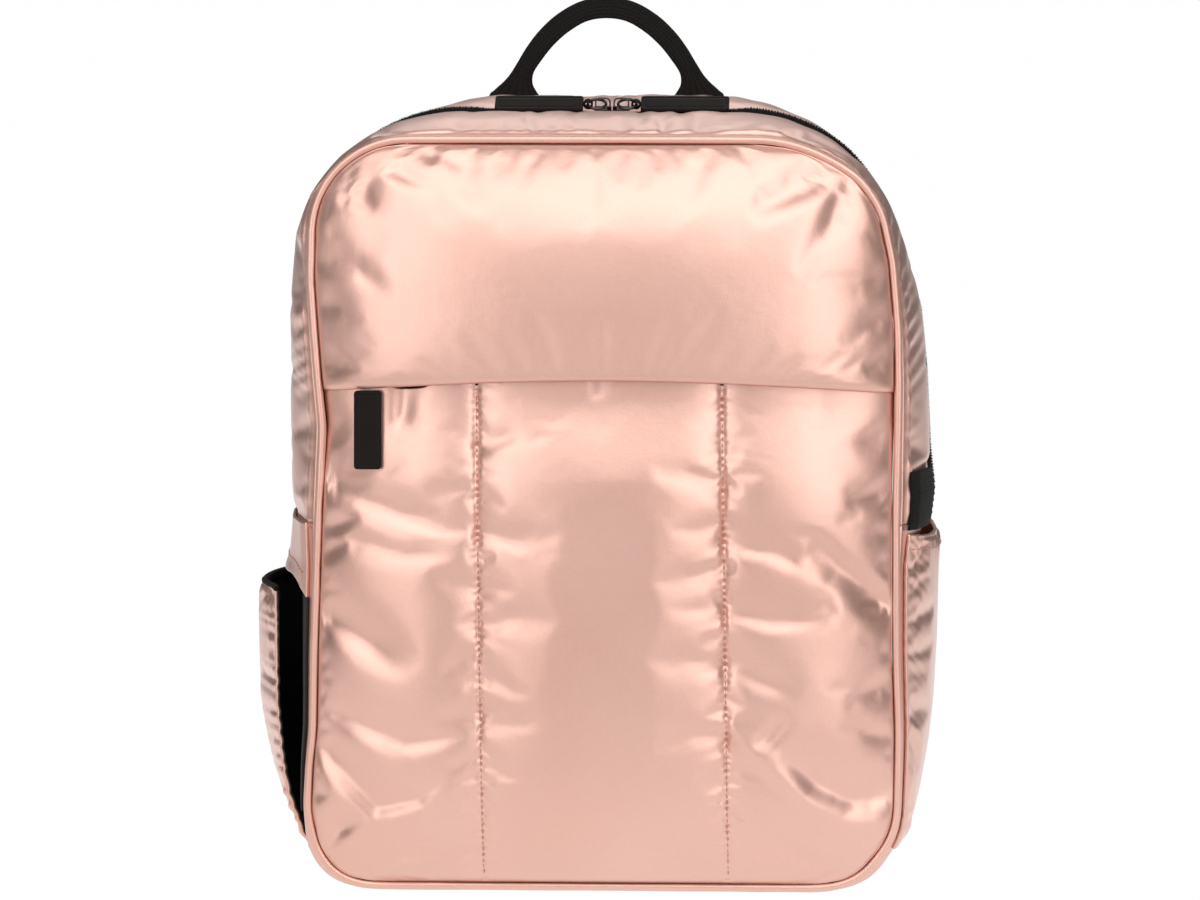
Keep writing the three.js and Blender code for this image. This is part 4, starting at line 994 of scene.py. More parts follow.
def add_pocket_zip():
    x = np.linspace(-POCKET_ZIP_REACH, POCKET_ZIP_REACH, 500) * (HALF_WIDTH - PANEL_INSET)
    half = POCKET_ZIP_HEIGHT / 2 + 3
    z = flap_edge(x) + FLAP_OVERLAP + GAP + POCKET_ZIP_HEIGHT - half
    full = fullness(*front_shares(x, z))
    y = front_face(x, z, FLAP_FOLDS) + np.minimum(POCKET_ZIP_RECESS, FRONT_PUFF * full + FLAP_STEP_EDGE + GAP)
    centres = np.stack([x, y + 0.8, z], axis=1)
    run = unit(np.gradient(centres, axis=0))
    across = np.tile([0.0, 0.0, -1.0], (len(x), 1))
    up = np.cross(across, run)
    zip_strip("pocket_zip_coil", centres, across, up, half, COIL_RISE, ZIP_TAPE, "zip_black", "pocket_zip_tape")


SLIDER_LENGTH = 9
SLIDER_WIDTH = 6
SLIDER_THICK = 2.4
BRIDGE_WIDTH = 2
BRIDGE_RISE = 4.4
BRIDGE_WALL = 0.9
RING_RADIUS = 4.7
RING_WIRE = 0.8
EYE_RADIUS = 1.65
EYE_WALL = 0.9
EYE_WIDTH = 3.2
RING_DIP = 0.15
TAB_LENGTH = 46
TAB_WIDTH = 14
TAB_THICK = 2.2
TAB_LEAN = 28
RING_SAG = 1.1
FRAME_INSET = 2.2
POCKET_TAB_X = 29 - HALF_WIDTH
POCKET_TAB_LENGTH = 40


def slider_piece(name):
    """A zip slider: a shield-shaped body and a bridge over it, its length along X and its underside at z = 0."""
    nose = 2.2
    half, side = SLIDER_LENGTH / 2, SLIDER_WIDTH / 2
    shield = [(-half, -side), (half - nose, -side), (half, nose - side), (half, side - nose), (half - nose, side), (-half, side)]
    body = placed(plate("body", [shield], SLIDER_THICK, 0.5), Matrix.Translation((0, 0, SLIDER_THICK / 2)))
    reach = half - 0.8
    top = SLIDER_THICK + BRIDGE_RISE
    arch = [(-reach, 0, SLIDER_THICK - 0.4), (-reach, 0, top - 2.2), (-reach + 1, 0, top - 0.6), (0, 0, top - 0.3),
            (reach - 1, 0, top - 0.6), (reach, 0, top - 2.2), (reach, 0, SLIDER_THICK - 0.4)]
    centres = smoothed(arch, 26)
    run = unit(np.gradient(centres, axis=0))
    across = np.tile([0.0, 1.0, 0.0], (len(centres), 1))
    through = np.cross(run, across)
    bridge = sweep("bridge", centres, across * BRIDGE_WIDTH / 2, through * BRIDGE_WALL / 2, round_profile(12, 4))
    return merged(name, [body, bridge])


def ring_piece(name, radius, wire, sides=12, count=36):
    turn = np.arange(count) * 2 * math.pi / count
    out = np.stack([np.cos(turn), np.sin(turn), np.zeros(count)], axis=1)
    up = np.tile([0.0, 0.0, 1.0], (count, 1))
    return sweep(name, out * radius, out * wire, up * wire, round_profile(sides), closed=True)


def tab_face(length, rows=90, columns=30):
    """The places of a tab's face, along and across, and how far the face sinks at each."""
    corner = 1.8
    along = edge_spaced(0, length, rows, 0.1)
    near_end = np.minimum(along, length - along)
    tuck = corner - np.sqrt(np.maximum(0, corner ** 2 - np.maximum(0, corner - near_end) ** 2))
    half = TAB_WIDTH / 2 - tuck
    across = half[:, None] * edge_spaced(-1, 1, columns, 0.1)[None]
    along = np.repeat(along[:, None], columns, axis=1)
    edge = np.minimum(np.minimum(along, length - along), half[:, None] - np.abs(across))
    rolled = 0.55 * (1 - np.sqrt(1 - (1 - np.clip(edge / 0.9, 0, 1)) ** 2))
    frame_line = 0.35 * np.exp(-((edge - FRAME_INSET) / 0.32) ** 4)
    return along, across, rolled + frame_line


def tab_piece(name):
    """A moulded pull tab with an eye at its near end: the eye's axis is Y at x = 0, and the tab runs along +X."""
    start = EYE_RADIUS + EYE_WALL
    along, across, sunk = tab_face(TAB_LENGTH)
    outer = np.stack([along + start, across, TAB_THICK / 2 - sunk], axis=-1).transpose(1, 0, 2)[::-1]
    inner = np.stack([along + start, across, sunk - TAB_THICK / 2], axis=-1).transpose(1, 0, 2)[::-1]
    leaf = closed_pair("leaf", outer[::-1], inner[::-1])
    turn = np.arange(28) * 2 * math.pi / 28
    out = np.stack([np.cos(turn), np.zeros(28), np.sin(turn)], axis=1)
    side = np.tile([0.0, 1.0, 0.0], (28, 1))
    collar = EYE_RADIUS + EYE_WALL / 2
    eye = sweep("eye", out * collar, out * EYE_WALL / 2, side * EYE_WIDTH / 2, round_profile(12, 4), closed=True)
    centres = np.array([[start - 0.5, 0, 0], [start + 0.4, 0, 0], [start + 1.4, 0, 0]], float)
    neck_wide = np.tile([0.0, EYE_WIDTH / 2, 0.0], (3, 1))
    neck_deep = np.tile([0.0, 0.0, TAB_THICK * 0.36], (3, 1))
    neck = sweep("neck", centres, neck_wide, neck_deep, round_profile(12, 4))
    return merged(name, [leaf, eye, neck])


def add_main_pull(side, word):
    top = section_at(ZIP_DEEP)["top"] * BODY_HEIGHT + ZIP_THICK / 2 + GAP
    turned = Matrix.Rotation(0 if side < 0 else math.pi, 4, "Z")
    seat = Matrix.Translation((side * (SLIDER_LENGTH / 2 + GAP), ZIP_Y, top)) @ turned
    slider = placed(slider_piece("main_slider_cast_" + word), seat)
    dressed(slider, DARK_METAL, "dark_metal", "main_slider_" + word)
    near = (side * (SLIDER_LENGTH / 2 - 1.3), ZIP_Y, top + SLIDER_THICK + BRIDGE_RISE / 2 - RING_SAG)
    hang = Matrix.Translation(near) @ Matrix.Rotation(math.radians(TAB_LEAN), 4, "X")
    ring = placed(ring_piece("main_ring_wire_" + word, RING_RADIUS, RING_WIRE), hang @ Matrix.Translation((side * RING_RADIUS, 0, 0)))
    dressed(ring, DARK_METAL, "dark_metal", "main_ring_" + word)
    flip = Matrix.Rotation(math.pi if side < 0 else 0, 4, "Z")
    tab = placed(tab_piece("main_tab_moulded_" + word), hang @ Matrix.Translation((side * (2 * RING_RADIUS - RING_DIP), 0, 0)) @ flip)
    dressed(tab, TAB_BLACK, "tab_black", "main_tab_" + word)


def add_pocket_pull():
    seat_z = flap_edge(POCKET_TAB_X) + FLAP_OVERLAP + POCKET_ZIP_HEIGHT / 2
    seat_y = front_face(np.array([POCKET_TAB_X]), np.array([seat_z]))[0] + POCKET_ZIP_RECESS
    spot = Matrix.Translation((POCKET_TAB_X, seat_y - 5 * GAP, seat_z)) @ Matrix.Rotation(math.pi / 2, 4, "X")
    body = plate("pocket_slider_cast", [rounded(SLIDER_LENGTH, SLIDER_WIDTH, 1.2)], SLIDER_THICK, 0.5)
    lifted = Matrix.Translation((0, 0, SLIDER_THICK / 2))
    dressed(placed(body, spot @ lifted), DARK_METAL, "dark_metal", "pocket_slider")
    down, across, sunk = tab_face(POCKET_TAB_LENGTH)
    top = flap_edge(POCKET_TAB_X - TAB_WIDTH / 2) - GAP
    x = POCKET_TAB_X + across
    z = top - down
    cloth_y = pocket_face(x, z, POCKET_FOLDS)
    slope, level = np.polyfit(down[:, 0], cloth_y.mean(axis=1), 1)
    lying = level + slope * down
    rest = lying + (cloth_y - lying).min() - GAP
    outer = np.stack([x, rest - TAB_THICK + sunk, z], axis=-1)[::-1]
    inner = np.stack([x, rest - sunk, z], axis=-1)[::-1]
    dressed(closed_pair("pocket_tab_moulded", outer, inner), TAB_BLACK, "tab_black", "pocket_tab")


# Side pockets and side loop

POCKET_WALL = 1.6
POCKET_FOOT = 22
POCKET_START = 6
RIGHT_HEM = 185
RIGHT_HEM_SAG = 4
POUCH_TOP = 152
POUCH_MOUTH_Y = -42
POUCH_MOUTH_SHARE = 0.62
POUCH_FOOT = 10
YOKE_FOOT = 161
YOKE_FRONT_DROP = 10
YOKE_REACH = 171
LINING_THICK = 1.2
LINING_FOOT = 40
SIDE_CLEARANCE = 0.8
LOOP_HEIGHT = 30
LOOP_LENGTH = 46
LOOP_FOOT = 187
LOOP_STAND = 1.2
WEB_THICK = 1.4
SKIN_OFFSET = CLOTH / 2 + SIDE_CLEARANCE
START_Y = depth_y(0) + POCKET_START
END_Y = depth_y(1) - POCKET_START

RIGHT_POCKET = {
    "up": [0.055, 0.1, 0.125, 0.18, 0.23, 0.31, 0.4, 0.45],
    "out": [1.0, 1.05, 1.067, 1.093, 1.108, 1.119, 1.124, 1.132],
}
LEFT_POCKET = {
    "up": [0.025, 0.04, 0.055, 0.095, 0.125, 0.155, 0.2, 0.235, 0.38],
    "out": [0.99, 1.03, 1.065, 1.125, 1.158, 1.18, 1.205, 1.218, 1.222],
}


def side_reach(side, y, z):
    return np.abs(outline_x(section_at(y / BODY_DEPTH + 0.5), z, side))


def side_grid(side, from_y, to_y, foot, top, stand, rows, columns):
    """A grid that stands off the body's side, its rows from foot to top and its face outward."""
    ys = edge_spaced(from_y, to_y, columns, 0.08)
    if side < 0:
        ys = ys[::-1]
    share = edge_spaced(0, 1, rows, 0.06)
    lines = []
    for y in ys:
        z = foot(y) + (top(y) - foot(y)) * share
        x = side * (side_reach(side, y, z) + stand(y, z))
        lines.append(np.stack([x, np.full_like(z, y), z], axis=1))
    return relaxed(np.array(lines).transpose(1, 0, 2), 2)


def pocket_stand(side, table, bulge):
    def stand(y, z):
        full = column(table, "out", z / BODY_HEIGHT) * HALF_WIDTH - side_reach(side, 0, z)
        least = SKIN_OFFSET + POCKET_WALL
        return least + np.maximum(0, full - least) * bulge(y)
    return stand


GATHER_PITCH = 7.5


def hem_gathers(points, off, along, size, reach, seed):
    """Gathers under an elastic hem: off is the distance from the hem and along the place along it."""
    drift = np.interp(along, np.linspace(0, 200, 30), np.random.default_rng(seed).uniform(-2.2, 2.2, 30))
    strength = np.interp(along, np.linspace(0, 200, 20), np.random.default_rng(seed + 1).uniform(0, 1, 20))
    ripple = np.sin(2 * math.pi * along / GATHER_PITCH + drift) * strength
    fade = np.clip(0.25 + off / 6, 0, 1) * np.exp(-off / reach)
    return points + grid_normals(points) * (size * ripple * fade)[..., None]


def edge_band(name, line, normals, width, material, slot):
    """A flat binding that wraps an edge: normals point out of the cloth along it."""
    run = unit(np.gradient(line, axis=0))
    flat = unit(np.cross(normals, run))
    return dressed(sweep(name, line, flat * width / 2, unit(normals) * 1.5, round_profile(16, 3)), material, slot)


def add_bottle_pocket():
    bulge = lambda y: 1 - np.abs(2 * (y - START_Y) / (END_Y - START_Y) - 1) ** 2.6
    top = lambda y: RIGHT_HEM - RIGHT_HEM_SAG * bulge(y)
    stand = pocket_stand(1, RIGHT_POCKET, bulge)
    points = side_grid(1, START_Y, END_Y, lambda y: POCKET_FOOT, top, stand, 62, 54)
    points = settle(points, border(points, 2), 0.03, 5, 0.25, 2.5)
    points = finer(points)
    off = points[-1:, :, 2] - points[..., 2]
    points = hem_gathers(points, off, points[..., 1] + 80, 1.1, 18, 51)
    front = points[..., 1] - START_Y
    points = hem_gathers(points, front, points[..., 2] + 0.8 * front, 0.45, 16, 57)
    piece = dressed(closed_sheet("bottle_pocket_cloth", points, POCKET_WALL), SATIN, "satin", "side_pocket_right")
    declare_sheet(points)
    hem = points[-10]
    stitches("bottle_hem_stitch", hem[3:-3], grid_normals(points)[-10][3:-3], THREAD_PINK, "satin_trim")


def declare_sheet(points):
    """Measures a grid of cloth: its width, its height and the directions of its faces, and does nothing with them."""
    wide = np.linalg.norm(np.diff(points, axis=1), axis=2).sum(axis=1).max() * MM
    tall = np.linalg.norm(np.diff(points, axis=0), axis=2).sum(axis=0).max() * MM
    across = np.cross(points[1:, :-1] - points[:-1, :-1], points[:-1, 1:] - points[:-1, :-1])


def add_pouch():
    def bulge(y):
        place = (y - POUCH_MOUTH_Y) / (END_Y - POUCH_MOUTH_Y)
        if place < 0.35:
            return POUCH_MOUTH_SHARE + (1 - POUCH_MOUTH_SHARE) * ease(max(0, place) / 0.35)
        return 1 - ((place - 0.35) / 0.65) ** 2.6
    stand = pocket_stand(-1, LEFT_POCKET, bulge)
    foot = lambda y: POUCH_FOOT
    points = side_grid(-1, POUCH_MOUTH_Y, END_Y, foot, lambda y: POUCH_TOP, stand, 62, 46)
    points = settle(points, border(points, 2), 0.03, 5, 0.25, 2.5)
    points = finer(points)
    mouth = points[..., 1] - POUCH_MOUTH_Y
    points = hem_gathers(points, mouth, points[..., 2], 1.5, 15, 61)
    points = hem_gathers(points, points[-1:, :, 2] - points[..., 2], points[..., 1] + 80, 1.2, 15, 67)
    piece = dressed(closed_sheet("pouch_cloth", points, POCKET_WALL), SATIN, "satin", "side_pocket_left")
    declare_sheet(points)
    normals = grid_normals(points)
    behind = (points - normals * (POCKET_WALL + 0.15))[:, ::2]
    facing = dressed(closed_sheet("pouch_facing_cloth", behind, 0.4), LINING, "zip_black")
    declare_sheet(behind)
    out = normals[-1, ::-2]
    edge_band("pouch_binding", points[-1, ::-2] - out * POCKET_WALL / 2, out, 2.6, WEBBING, "webbing")


def yoke_edge(y):
    return YOKE_FOOT - YOKE_FRONT_DROP * max(0, min(1, 1 - (y - START_Y) / 24)) ** 2


def add_pouch_yoke():
    def stand(y, z):
        least = SKIN_OFFSET + POCKET_WALL
        bulge = 1 - abs(2 * (y - START_Y) / (END_Y - START_Y) - 1) ** 2.2
        drop = np.clip((SEAM_HEIGHT - z) / (SEAM_HEIGHT - YOKE_FOOT), 0, 1)
        reach = side_reach(-1, 0, np.array([YOKE_FOOT]))[0]
        return least + max(0, YOKE_REACH - reach - least) * bulge * drop
    points = side_grid(-1, START_Y, END_Y, yoke_edge, lambda y: SEAM_HEIGHT - GAP, stand, 14, 54)
    points = finer(points)
    points = hem_gathers(points, points[..., 2] - points[:1, :, 2], points[..., 1] + 80, 0.7, 8, 71)
    piece = dressed(closed_sheet("pouch_yoke_cloth", points, POCKET_WALL), SATIN, "satin", "side_pocket_left_yoke")
    declare_sheet(points)
    hem = points[8][3:-3]
    stitches("yoke_hem_stitch", hem, grid_normals(points)[8][3:-3], THREAD_PINK, "satin_trim")


def add_pouch_lining():
    stand = lambda y, z: SKIN_OFFSET + LINING_THICK
    foot = lambda y: LINING_FOOT
    top = lambda y: yoke_edge(y) - 2 * GAP
    points = side_grid(-1, START_Y, END_Y, foot, top, stand, 40, 46)
    piece = dressed(closed_sheet("pouch_lining_cloth", points, LINING_THICK), LINING, "zip_black", "side_pocket_left_lining")
    declare_sheet(points)


def add_side_loop():
    end_y = START_Y + LOOP_LENGTH
    stand = lambda y, z: SKIN_OFFSET + WEB_THICK + LOOP_STAND * math.sin(math.pi * (y - START_Y) / LOOP_LENGTH)
    points = side_grid(1, START_Y, end_y, lambda y: LOOP_FOOT, lambda y: LOOP_FOOT + LOOP_HEIGHT, stand, 30, 44)
    dressed(closed_sheet("side_loop_web", points, WEB_THICK), WEBBING, "webbing", "side_loop")
    normals = grid_normals(points)
    for word, at in (("front", 3), ("back", -4)):
        stitches("side_loop_stitch_" + word, points[2:-2, at], normals[2:-2, at], THREAD_BLACK, "webbing")


# Grab handle

HANDLE_X = -5.5
HANDLE_Y = 68
HANDLE_HALF_SPAN = 62
HANDLE_RISE = 53
HANDLE_THICK = 5
HANDLE_FOOT_WIDTH = 31
# along, up, wide, thick
HANDLE = [
    (0.77, 0.0, 1.0, 0.5), (0.76, 0.08, 0.7, 0.6), (0.74, 0.18, 0.44, 0.8), (0.7, 0.3, 0.33, 1),
    (0.62, 0.45, 0.34, 1), (0.52, 0.6, 0.35, 1), (0.38, 0.75, 0.36, 1), (0.2, 0.87, 0.36, 1), (0.0, 0.91, 0.37, 1),
]


def strip_frame(centres, facing):
    """Unit vectors across and through a strip that runs along centres with its broad face towards facing."""
    run = unit(np.gradient(centres, axis=0))
    across = unit(np.cross(run, np.tile(facing, (len(run), 1))))
    return across, unit(np.cross(across, run))


def add_grab_handle():
    foot = BODY_HEIGHT + CLOTH / 2 + GAP
    rows = []
    for side, table in ((-1, HANDLE), (1, HANDLE[-2::-1])):
        for along, up, wide, thick in table:
            x = HANDLE_X + side * along * HANDLE_HALF_SPAN
            half, deep = wide * HANDLE_FOOT_WIDTH / 2, thick * HANDLE_THICK / 2
            rows.append((x, HANDLE_Y, foot + up * HANDLE_RISE, half, deep))
    rows = smoothed(rows, 150)
    centres = rows[:, :3]
    across, through = strip_frame(centres, (0.0, 1.0, 0.0))
    for end in (0, -1):
        flat = np.sign(across[end, 0])
        across[end] = (flat, 0, 0)
        through[end] = (0, np.sign(through[end, 1]), 0)
    piece = sweep("grab_handle_web", centres, across * rows[:, 3:4], through * rows[:, 4:5], round_profile(36, 3.5))
    dressed(piece, WEBBING, "webbing", "grab_handle")
    for word, side in (("inner", -1), ("outer", 1)):
        off = rows[:, 3:4] * 0.72 * side
        line = (centres + across * off - np.array([0.0, 1.0, 0.0]) * rows[:, 4:5] * 0.97)[6:-6]
        out = np.tile([0.0, -1.0, 0.0], (len(line), 1))
        stitches("grab_handle_stitch_" + word, line, out, THREAD_BLACK, "webbing")


# Back panel and shoulder straps

STRAP_PAD = 9
STRAP_WIDTH = 62
WEB_HALF = 12.5
BUCKLE_RAIL = 3
BUCKLE_BAR = 4
BUCKLE_SLOT = 5
BUCKLE_THICK = 3.6
LOOP_DROP = 14
TAIL_LENGTH = 62
ANCHOR_HEIGHT = 52
ANCHOR_X = 118
ANCHOR_LENGTH = 27
ANCHOR_HALF = 14
ANCHOR_THICK = 2
# up, out, off, wide, thick
STRAP = [
    (0.96, 0.28, 0.0, 0.94, 0.6), (0.93, 0.285, 0.02, 0.96, 1), (0.87, 0.3, 0.08, 1.0, 1), (0.79, 0.33, 0.16, 1.02, 1),
    (0.7, 0.38, 0.21, 1.0, 1), (0.6, 0.44, 0.22, 0.94, 1), (0.5, 0.52, 0.2, 0.82, 1), (0.43, 0.585, 0.17, 0.66, 0.9),
    (0.39, 0.62, 0.15, 0.46, 0.78),
]


def back_face(x, z):
    across = x / (HALF_WIDTH - PANEL_INSET)
    return BACK_Y + BACK_PAD / 2 + BACK_PUFF * fullness(across, 2 * z / BODY_HEIGHT - 1)


BACK_CHANNEL_X = 52


def add_back_panel():
    size = outline_size(BACK, PANEL_INSET)
    rows = []
    for z in edge_spaced(size["foot"], size["top"], 70):
        left = outline_x(BACK, np.array([z]), -1, PANEL_INSET)[0]
        right = outline_x(BACK, np.array([z]), 1, PANEL_INSET)[0]
        x = edge_spaced(right, left, 68)
        half, middle = (right - left) / 2, (size["top"] + size["foot"]) / 2
        edge = np.minimum(half - np.abs(x - (left + right) / 2), (size["top"] - size["foot"]) / 2 - abs(z - middle))
        y = back_face(x, z) - 4 * np.exp(-np.maximum(edge, 0) / 4)
        channel = np.minimum(np.abs(np.abs(x) - BACK_CHANNEL_X), 40)
        y = y - 2.2 * np.exp(-(channel / 5) ** 1.3) * np.clip(edge / 14, 0, 1)
        rows.append(np.stack([x, y, np.full_like(x, z)], axis=1))
    points = np.array(rows)
    seams = np.abs(np.abs(points[..., 0]) - BACK_CHANNEL_X) < 2.4
    points = settle(points, border(points, 2) | seams, 0.015, 6, 0.4, 2.0)
    points = finer(points)
    piece = dressed(closed_sheet("back_padded", points, BACK_PAD - 4), SATIN, "satin", "back_panel")
    z = np.linspace(size["foot"] + 6, size["top"] - 6, 150)
    for word, side in (("left", -1), ("right", 1)):
        x = np.full_like(z, side * BACK_CHANNEL_X)
        line = np.stack([x, back_face(x, z) - 2.2, z], axis=1)
        stitches("back_stitch_" + word, line, np.tile([0.0, 1.0, 0.0], (len(z), 1)), THREAD_PINK, "satin_trim")


def folded_web(start, edge, end, turn, start_side):
    """Centres and half thicknesses of webbing that runs up one face of a bar, round its edge and down again."""
    off = BUCKLE_THICK / 2 + GAP + WEB_THICK / 2
    clear = edge + turn * (GAP + WEB_THICK / 2 - off * 0.55)
    rows = [(0, start_side * off, start + (clear - start) * share) for share in np.linspace(0, 0.97, 12)]
    for angle in np.linspace(0, math.pi, 17):
        rows.append((0, start_side * off * math.cos(angle), clear + turn * off * math.sin(angle)))
    rows += [(0, -start_side * off, clear + (end - clear) * share) for share in np.linspace(0.03, 1, 12)]
    centres = np.array(rows, float)
    run = unit(np.gradient(centres, axis=0))
    through = np.stack([np.zeros(len(run)), run[:, 2], -run[:, 1]], axis=1)
    return centres, unit(through) * WEB_THICK / 2


def web_piece(name, frame_matrix, *fold):
    centres, through = folded_web(*fold)
    across = np.tile([WEB_HALF, 0.0, 0.0], (len(centres), 1))
    return placed(sweep(name, centres, across, through, round_profile(28, 7)), frame_matrix)


def add_strap(side, word):
    rows = []
    for up, out, off, wide, thick in STRAP:
        x, z = side * out * HALF_WIDTH, up * BODY_HEIGHT
        y = back_face(x, z) + 2 * GAP + STRAP_PAD / 2 + off * STRAP_WIDTH
        rows.append((x, y, z, wide * STRAP_WIDTH / 2, thick * STRAP_PAD / 2))
    end = Vector(rows[-1][:3])
    rows = smoothed(rows, 120)
    centres = rows[:, :3]
    across, through = strip_frame(centres, (0.0, 1.0, 0.0))
    half, deep = rows[:, 3:4], rows[:, 4:5]
    piece = sweep("strap_padded_" + word, centres, across * half, through * deep, round_profile(48, 2.3))
    dressed(piece, SATIN, "satin", "shoulder_strap_" + word)
    outward = unit(through)
    if outward[60, 1] < 0:
        outward = -outward
    for edge_word, edge in (("inner", -side), ("outer", side)):
        direction = edge * np.sign(across[60, 0])
        line = centres + across * half * direction * 0.985
        tube = sweep("strap_binding_" + word + "_" + edge_word, line, across * 1.5, outward * 1.9, round_profile(14))
        dressed(tube, SATIN_TRIM, "satin_trim")
        inset = centres + across * (half - 5) * direction
        lift = deep * (1 - np.abs((half - 5) / half) ** 2.3) ** (1 / 2.3)
        seam = inset + outward * lift
        stitches("strap_stitch_" + word + "_" + edge_word, seam[4:-4], outward[4:-4], THREAD_PINK, "satin_trim")

    web = BUCKLE_THICK / 2 + GAP + WEB_THICK
    anchor_y = back_face(side * ANCHOR_X, ANCHOR_HEIGHT) + 5 * GAP + ANCHOR_THICK + web
    anchor = Vector((side * ANCHOR_X, anchor_y, ANCHOR_HEIGHT))
    upward = end - anchor
    length = upward.length
    upward.normalize()
    right = Vector((0, 1, 0)).cross(upward).normalized()
    out = upward.cross(right)
    lower = Matrix((right, out, upward)).transposed().to_4x4()
    lower.translation = end
    pad_gap = -6 * GAP
    top = pad_gap - LOOP_DROP
    loop = web_piece("strap_loop_web_" + word, lower, pad_gap, top - BUCKLE_BAR, pad_gap, -1, 1)
    dressed(loop, WEBBING, "webbing", "strap_loop_" + word)
    turn_edge = top - 2 * (BUCKLE_BAR + BUCKLE_SLOT)
    tail_end = turn_edge - TAIL_LENGTH
    tape = web_piece("strap_tape_" + word, lower, -length, turn_edge, tail_end, 1, -1)
    dressed(tape, WEBBING, "webbing", "strap_web_" + word)

    slot_half = WEB_HALF + 2 * GAP
    tall = 4 * BUCKLE_BAR + 3 * BUCKLE_SLOT
    outlines = [rounded(2 * (slot_half + BUCKLE_RAIL), tall, 2.4)]
    for k in range(3):
        middle = tall / 2 - BUCKLE_BAR - BUCKLE_SLOT / 2 - k * (BUCKLE_BAR + BUCKLE_SLOT)
        outlines.append([(x, y + middle) for x, y in rounded(2 * slot_half, BUCKLE_SLOT, 0.8)])
    buckle = plate("strap_buckle_moulded_" + word, outlines, BUCKLE_THICK, 0.7)
    seat = Matrix.Translation((0, 0, top - tall / 2)) @ Matrix.Rotation(math.pi / 2, 4, "X")
    dressed(placed(buckle, lower @ seat), BUCKLE_BLACK, "buckle_black", "strap_buckle_" + word)

    lean = np.array([upward.x, upward.z])
    lean /= np.linalg.norm(lean)
    seat = np.array([anchor.x, anchor.z]) + lean * 3
    along, wide = np.meshgrid(np.linspace(-ANCHOR_LENGTH, 0, 26), np.linspace(1, -1, 26) * ANCHOR_HALF, indexing="ij")
    x = seat[0] + lean[0] * along + lean[1] * wide
    z = seat[1] + lean[1] * along - lean[0] * wide
    soft = 1 - 0.35 * np.maximum(np.abs(wide) / ANCHOR_HALF, np.abs(2 * along / ANCHOR_LENGTH + 1)) ** 8
    points = np.stack([x, back_face(x, z) + 2 * GAP + ANCHOR_THICK * soft, z], axis=-1)
    patch = dressed(closed_sheet("strap_anchor_patch_" + word, points, ANCHOR_THICK * 0.6), SATIN_TRIM, "satin_trim", "strap_anchor_" + word)
    normals = grid_normals(points)
    box = [(3, 3), (3, -4), (-4, -4), (-4, 3), (3, 3), (-4, -4)]
    line = np.concatenate([np.linspace(points[a], points[b], 20) for a, b in zip(box, box[1:])])
    out = np.tile(normals[12, 12], (len(line), 1))
    stitches("strap_anchor_stitch_" + word, line, out, THREAD_PINK, "satin_trim")


# Floor, light and camera

AIM = Vector((-3.3, -75, 228.5)) * MM
DISTANCE = 3.0
AZIMUTH = math.radians(2.3)
ELEVATION = math.radians(6)
LENS = 176.2
FLOOR_REACH = 25e3
# Painted light: the floor glows though it is no lamp, near white behind the bag and dimmer ahead of it and to its
# sides.
FLOOR_GLOW = 0.99
FRONT_GLOW = 0.74
SIDE_GLOW = 0.45
SKY = 0.1


def add_floor():
    corners = np.array([[-1, -1, 0], [1, -1, 0], [1, 1, 0], [-1, 1, 0]]) * FLOOR_REACH
    floor = mesh_object("floor", corners, np.array([[0, 1, 2, 3]]))
    paper = Finish("floor_paper_glow", 0.2, roughness=0.9, base_color=(0.012, 0.012, 0.012, 1), emission_strength=1.0)
    split = paper.tree.nodes.new("ShaderNodeSeparateXYZ")
    paper.feed(split.inputs[0], paper.places())
    across, deep = Value(paper, split.outputs["X"]), Value(paper, split.outputs["Y"])
    # The floor's glow is painted light, dimmed ahead of the bag and towards its sides.
    aside = across.math("ABSOLUTE") - deep.math("ABSOLUTE") * 0.16
    smooth = {"interpolation_type": "SMOOTHSTEP"}
    fade = paper.node("ShaderNodeMapRange", smooth, aside, 0.45, 1.25, 0.0, 1.0)
    ahead = paper.node("ShaderNodeMapRange", smooth, deep, -0.1, -0.5, 0.0, 1.0)
    bright, front, dim = ((glow, glow, glow, 1) for glow in (FLOOR_GLOW, FRONT_GLOW, SIDE_GLOW))
    middle = paper.colour(ahead, bright, front)
    floor.data.materials.append(paper.wear(emission_color=paper.colour(fade, middle, dim)))


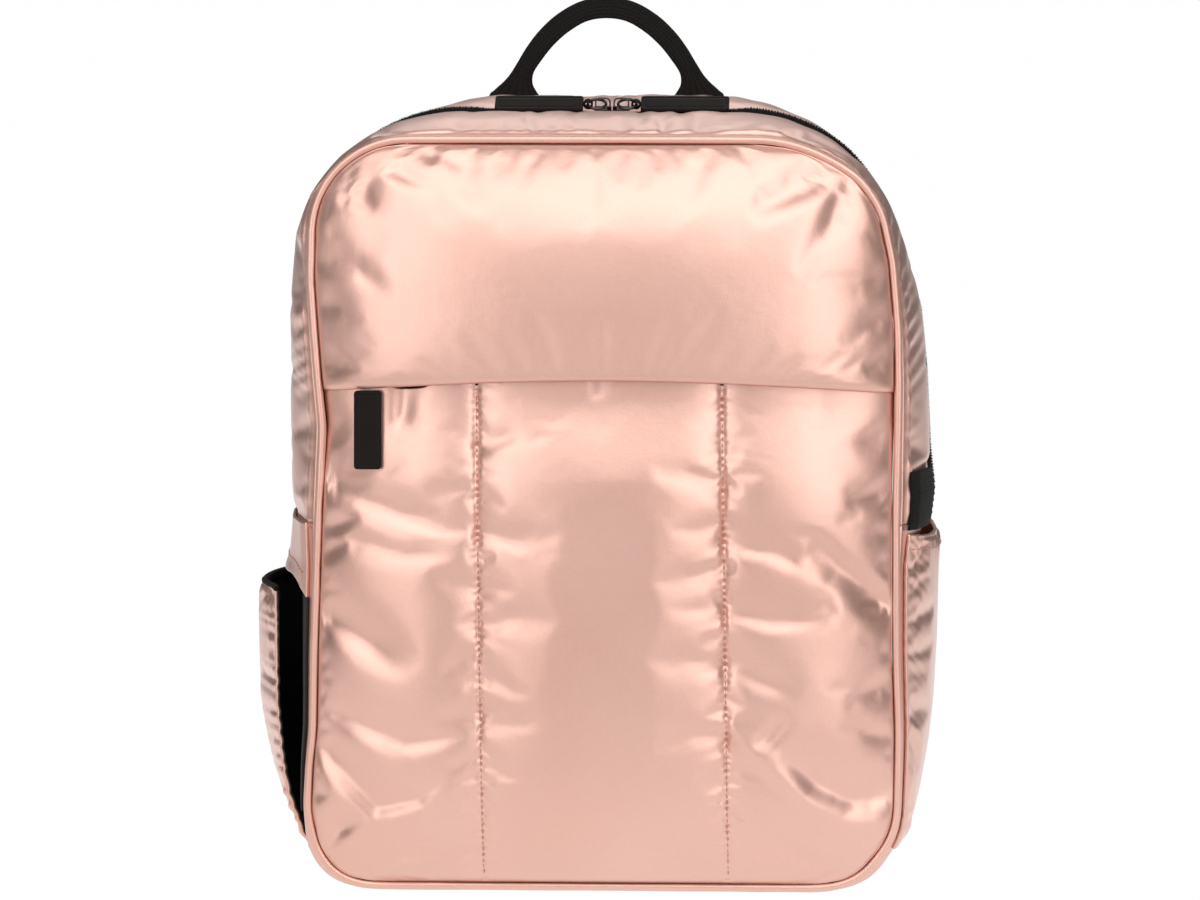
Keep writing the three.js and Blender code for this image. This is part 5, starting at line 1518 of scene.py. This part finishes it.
def add_light(name, place, size, power, aim=(0, 0, 0.22)):
    lamp = bpy.data.lights.new(name, "AREA")
    lamp.shape = "RECTANGLE"
    lamp.size, lamp.size_y = size
    lamp.energy = power
    holder = bpy.data.objects.new(name, lamp)
    holder.location = place
    holder.rotation_euler = (Vector(aim) - Vector(place)).to_track_quat("-Z", "Y").to_euler()
    bpy.context.scene.collection.objects.link(holder)


def add_studio():
    world = bpy.data.worlds.new("studio")
    world.use_nodes = True
    world.node_tree.nodes["Background"].inputs["Color"].default_value = (1, 1, 1, 1)
    world.node_tree.nodes["Background"].inputs["Strength"].default_value = SKY
    scene = bpy.context.scene
    scene.world = world
    scene.view_settings.view_transform = "Standard"
    add_light("overhead", (0.12, -1.3, 1.6), (3.0, 1.45), 28.5)
    add_light("left_window", (-0.92, -1.5, 0.46), (0.85, 0.96), 5.2)
    add_light("right_window", (0.95, -1.45, 0.46), (0.95, 0.96), 6.0)
    add_light("front_fill", (0.05, -2.4, 0.95), (1.6, 0.5), 1.9)
    add_light("top", (0.0, 0.35, 2.0), (1.2, 0.8), 3)
    add_light("back_overhead", (0.2, 1.5, 1.6), (1.9, 0.9), 7)
    add_light("back_left", (-1.6, 0.4, 1.3), (0.8, 0.8), 2)
    add_light("back_right", (1.6, 0.4, 1.3), (0.8, 0.8), 2)
    lens = bpy.data.cameras.new("camera")
    lens.lens = LENS
    lens.clip_end = 100
    camera = bpy.data.objects.new("camera", lens)
    outward = Vector((math.sin(AZIMUTH) * math.cos(ELEVATION), -math.cos(AZIMUTH) * math.cos(ELEVATION), math.sin(ELEVATION)))
    camera.location = AIM + outward * DISTANCE
    camera.rotation_euler = (-outward).to_track_quat("-Z", "Y").to_euler()
    scene.collection.objects.link(camera)
    scene.camera = camera


add_gussets()
add_piping("piping_front_cord", 0, "piping_front")
add_piping("piping_back_cord", 1, "piping_back")
add_flap()
add_pocket_panel()
add_main_zip()
add_pocket_zip()
for side, word in ((-1, "left"), (1, "right")):
    add_main_pull(side, word)
    add_strap(side, word)
add_pocket_pull()
add_bottle_pocket()
add_pouch()
add_pouch_yoke()
add_pouch_lining()
add_side_loop()
add_grab_handle()
add_back_panel()
add_floor()
add_studio()
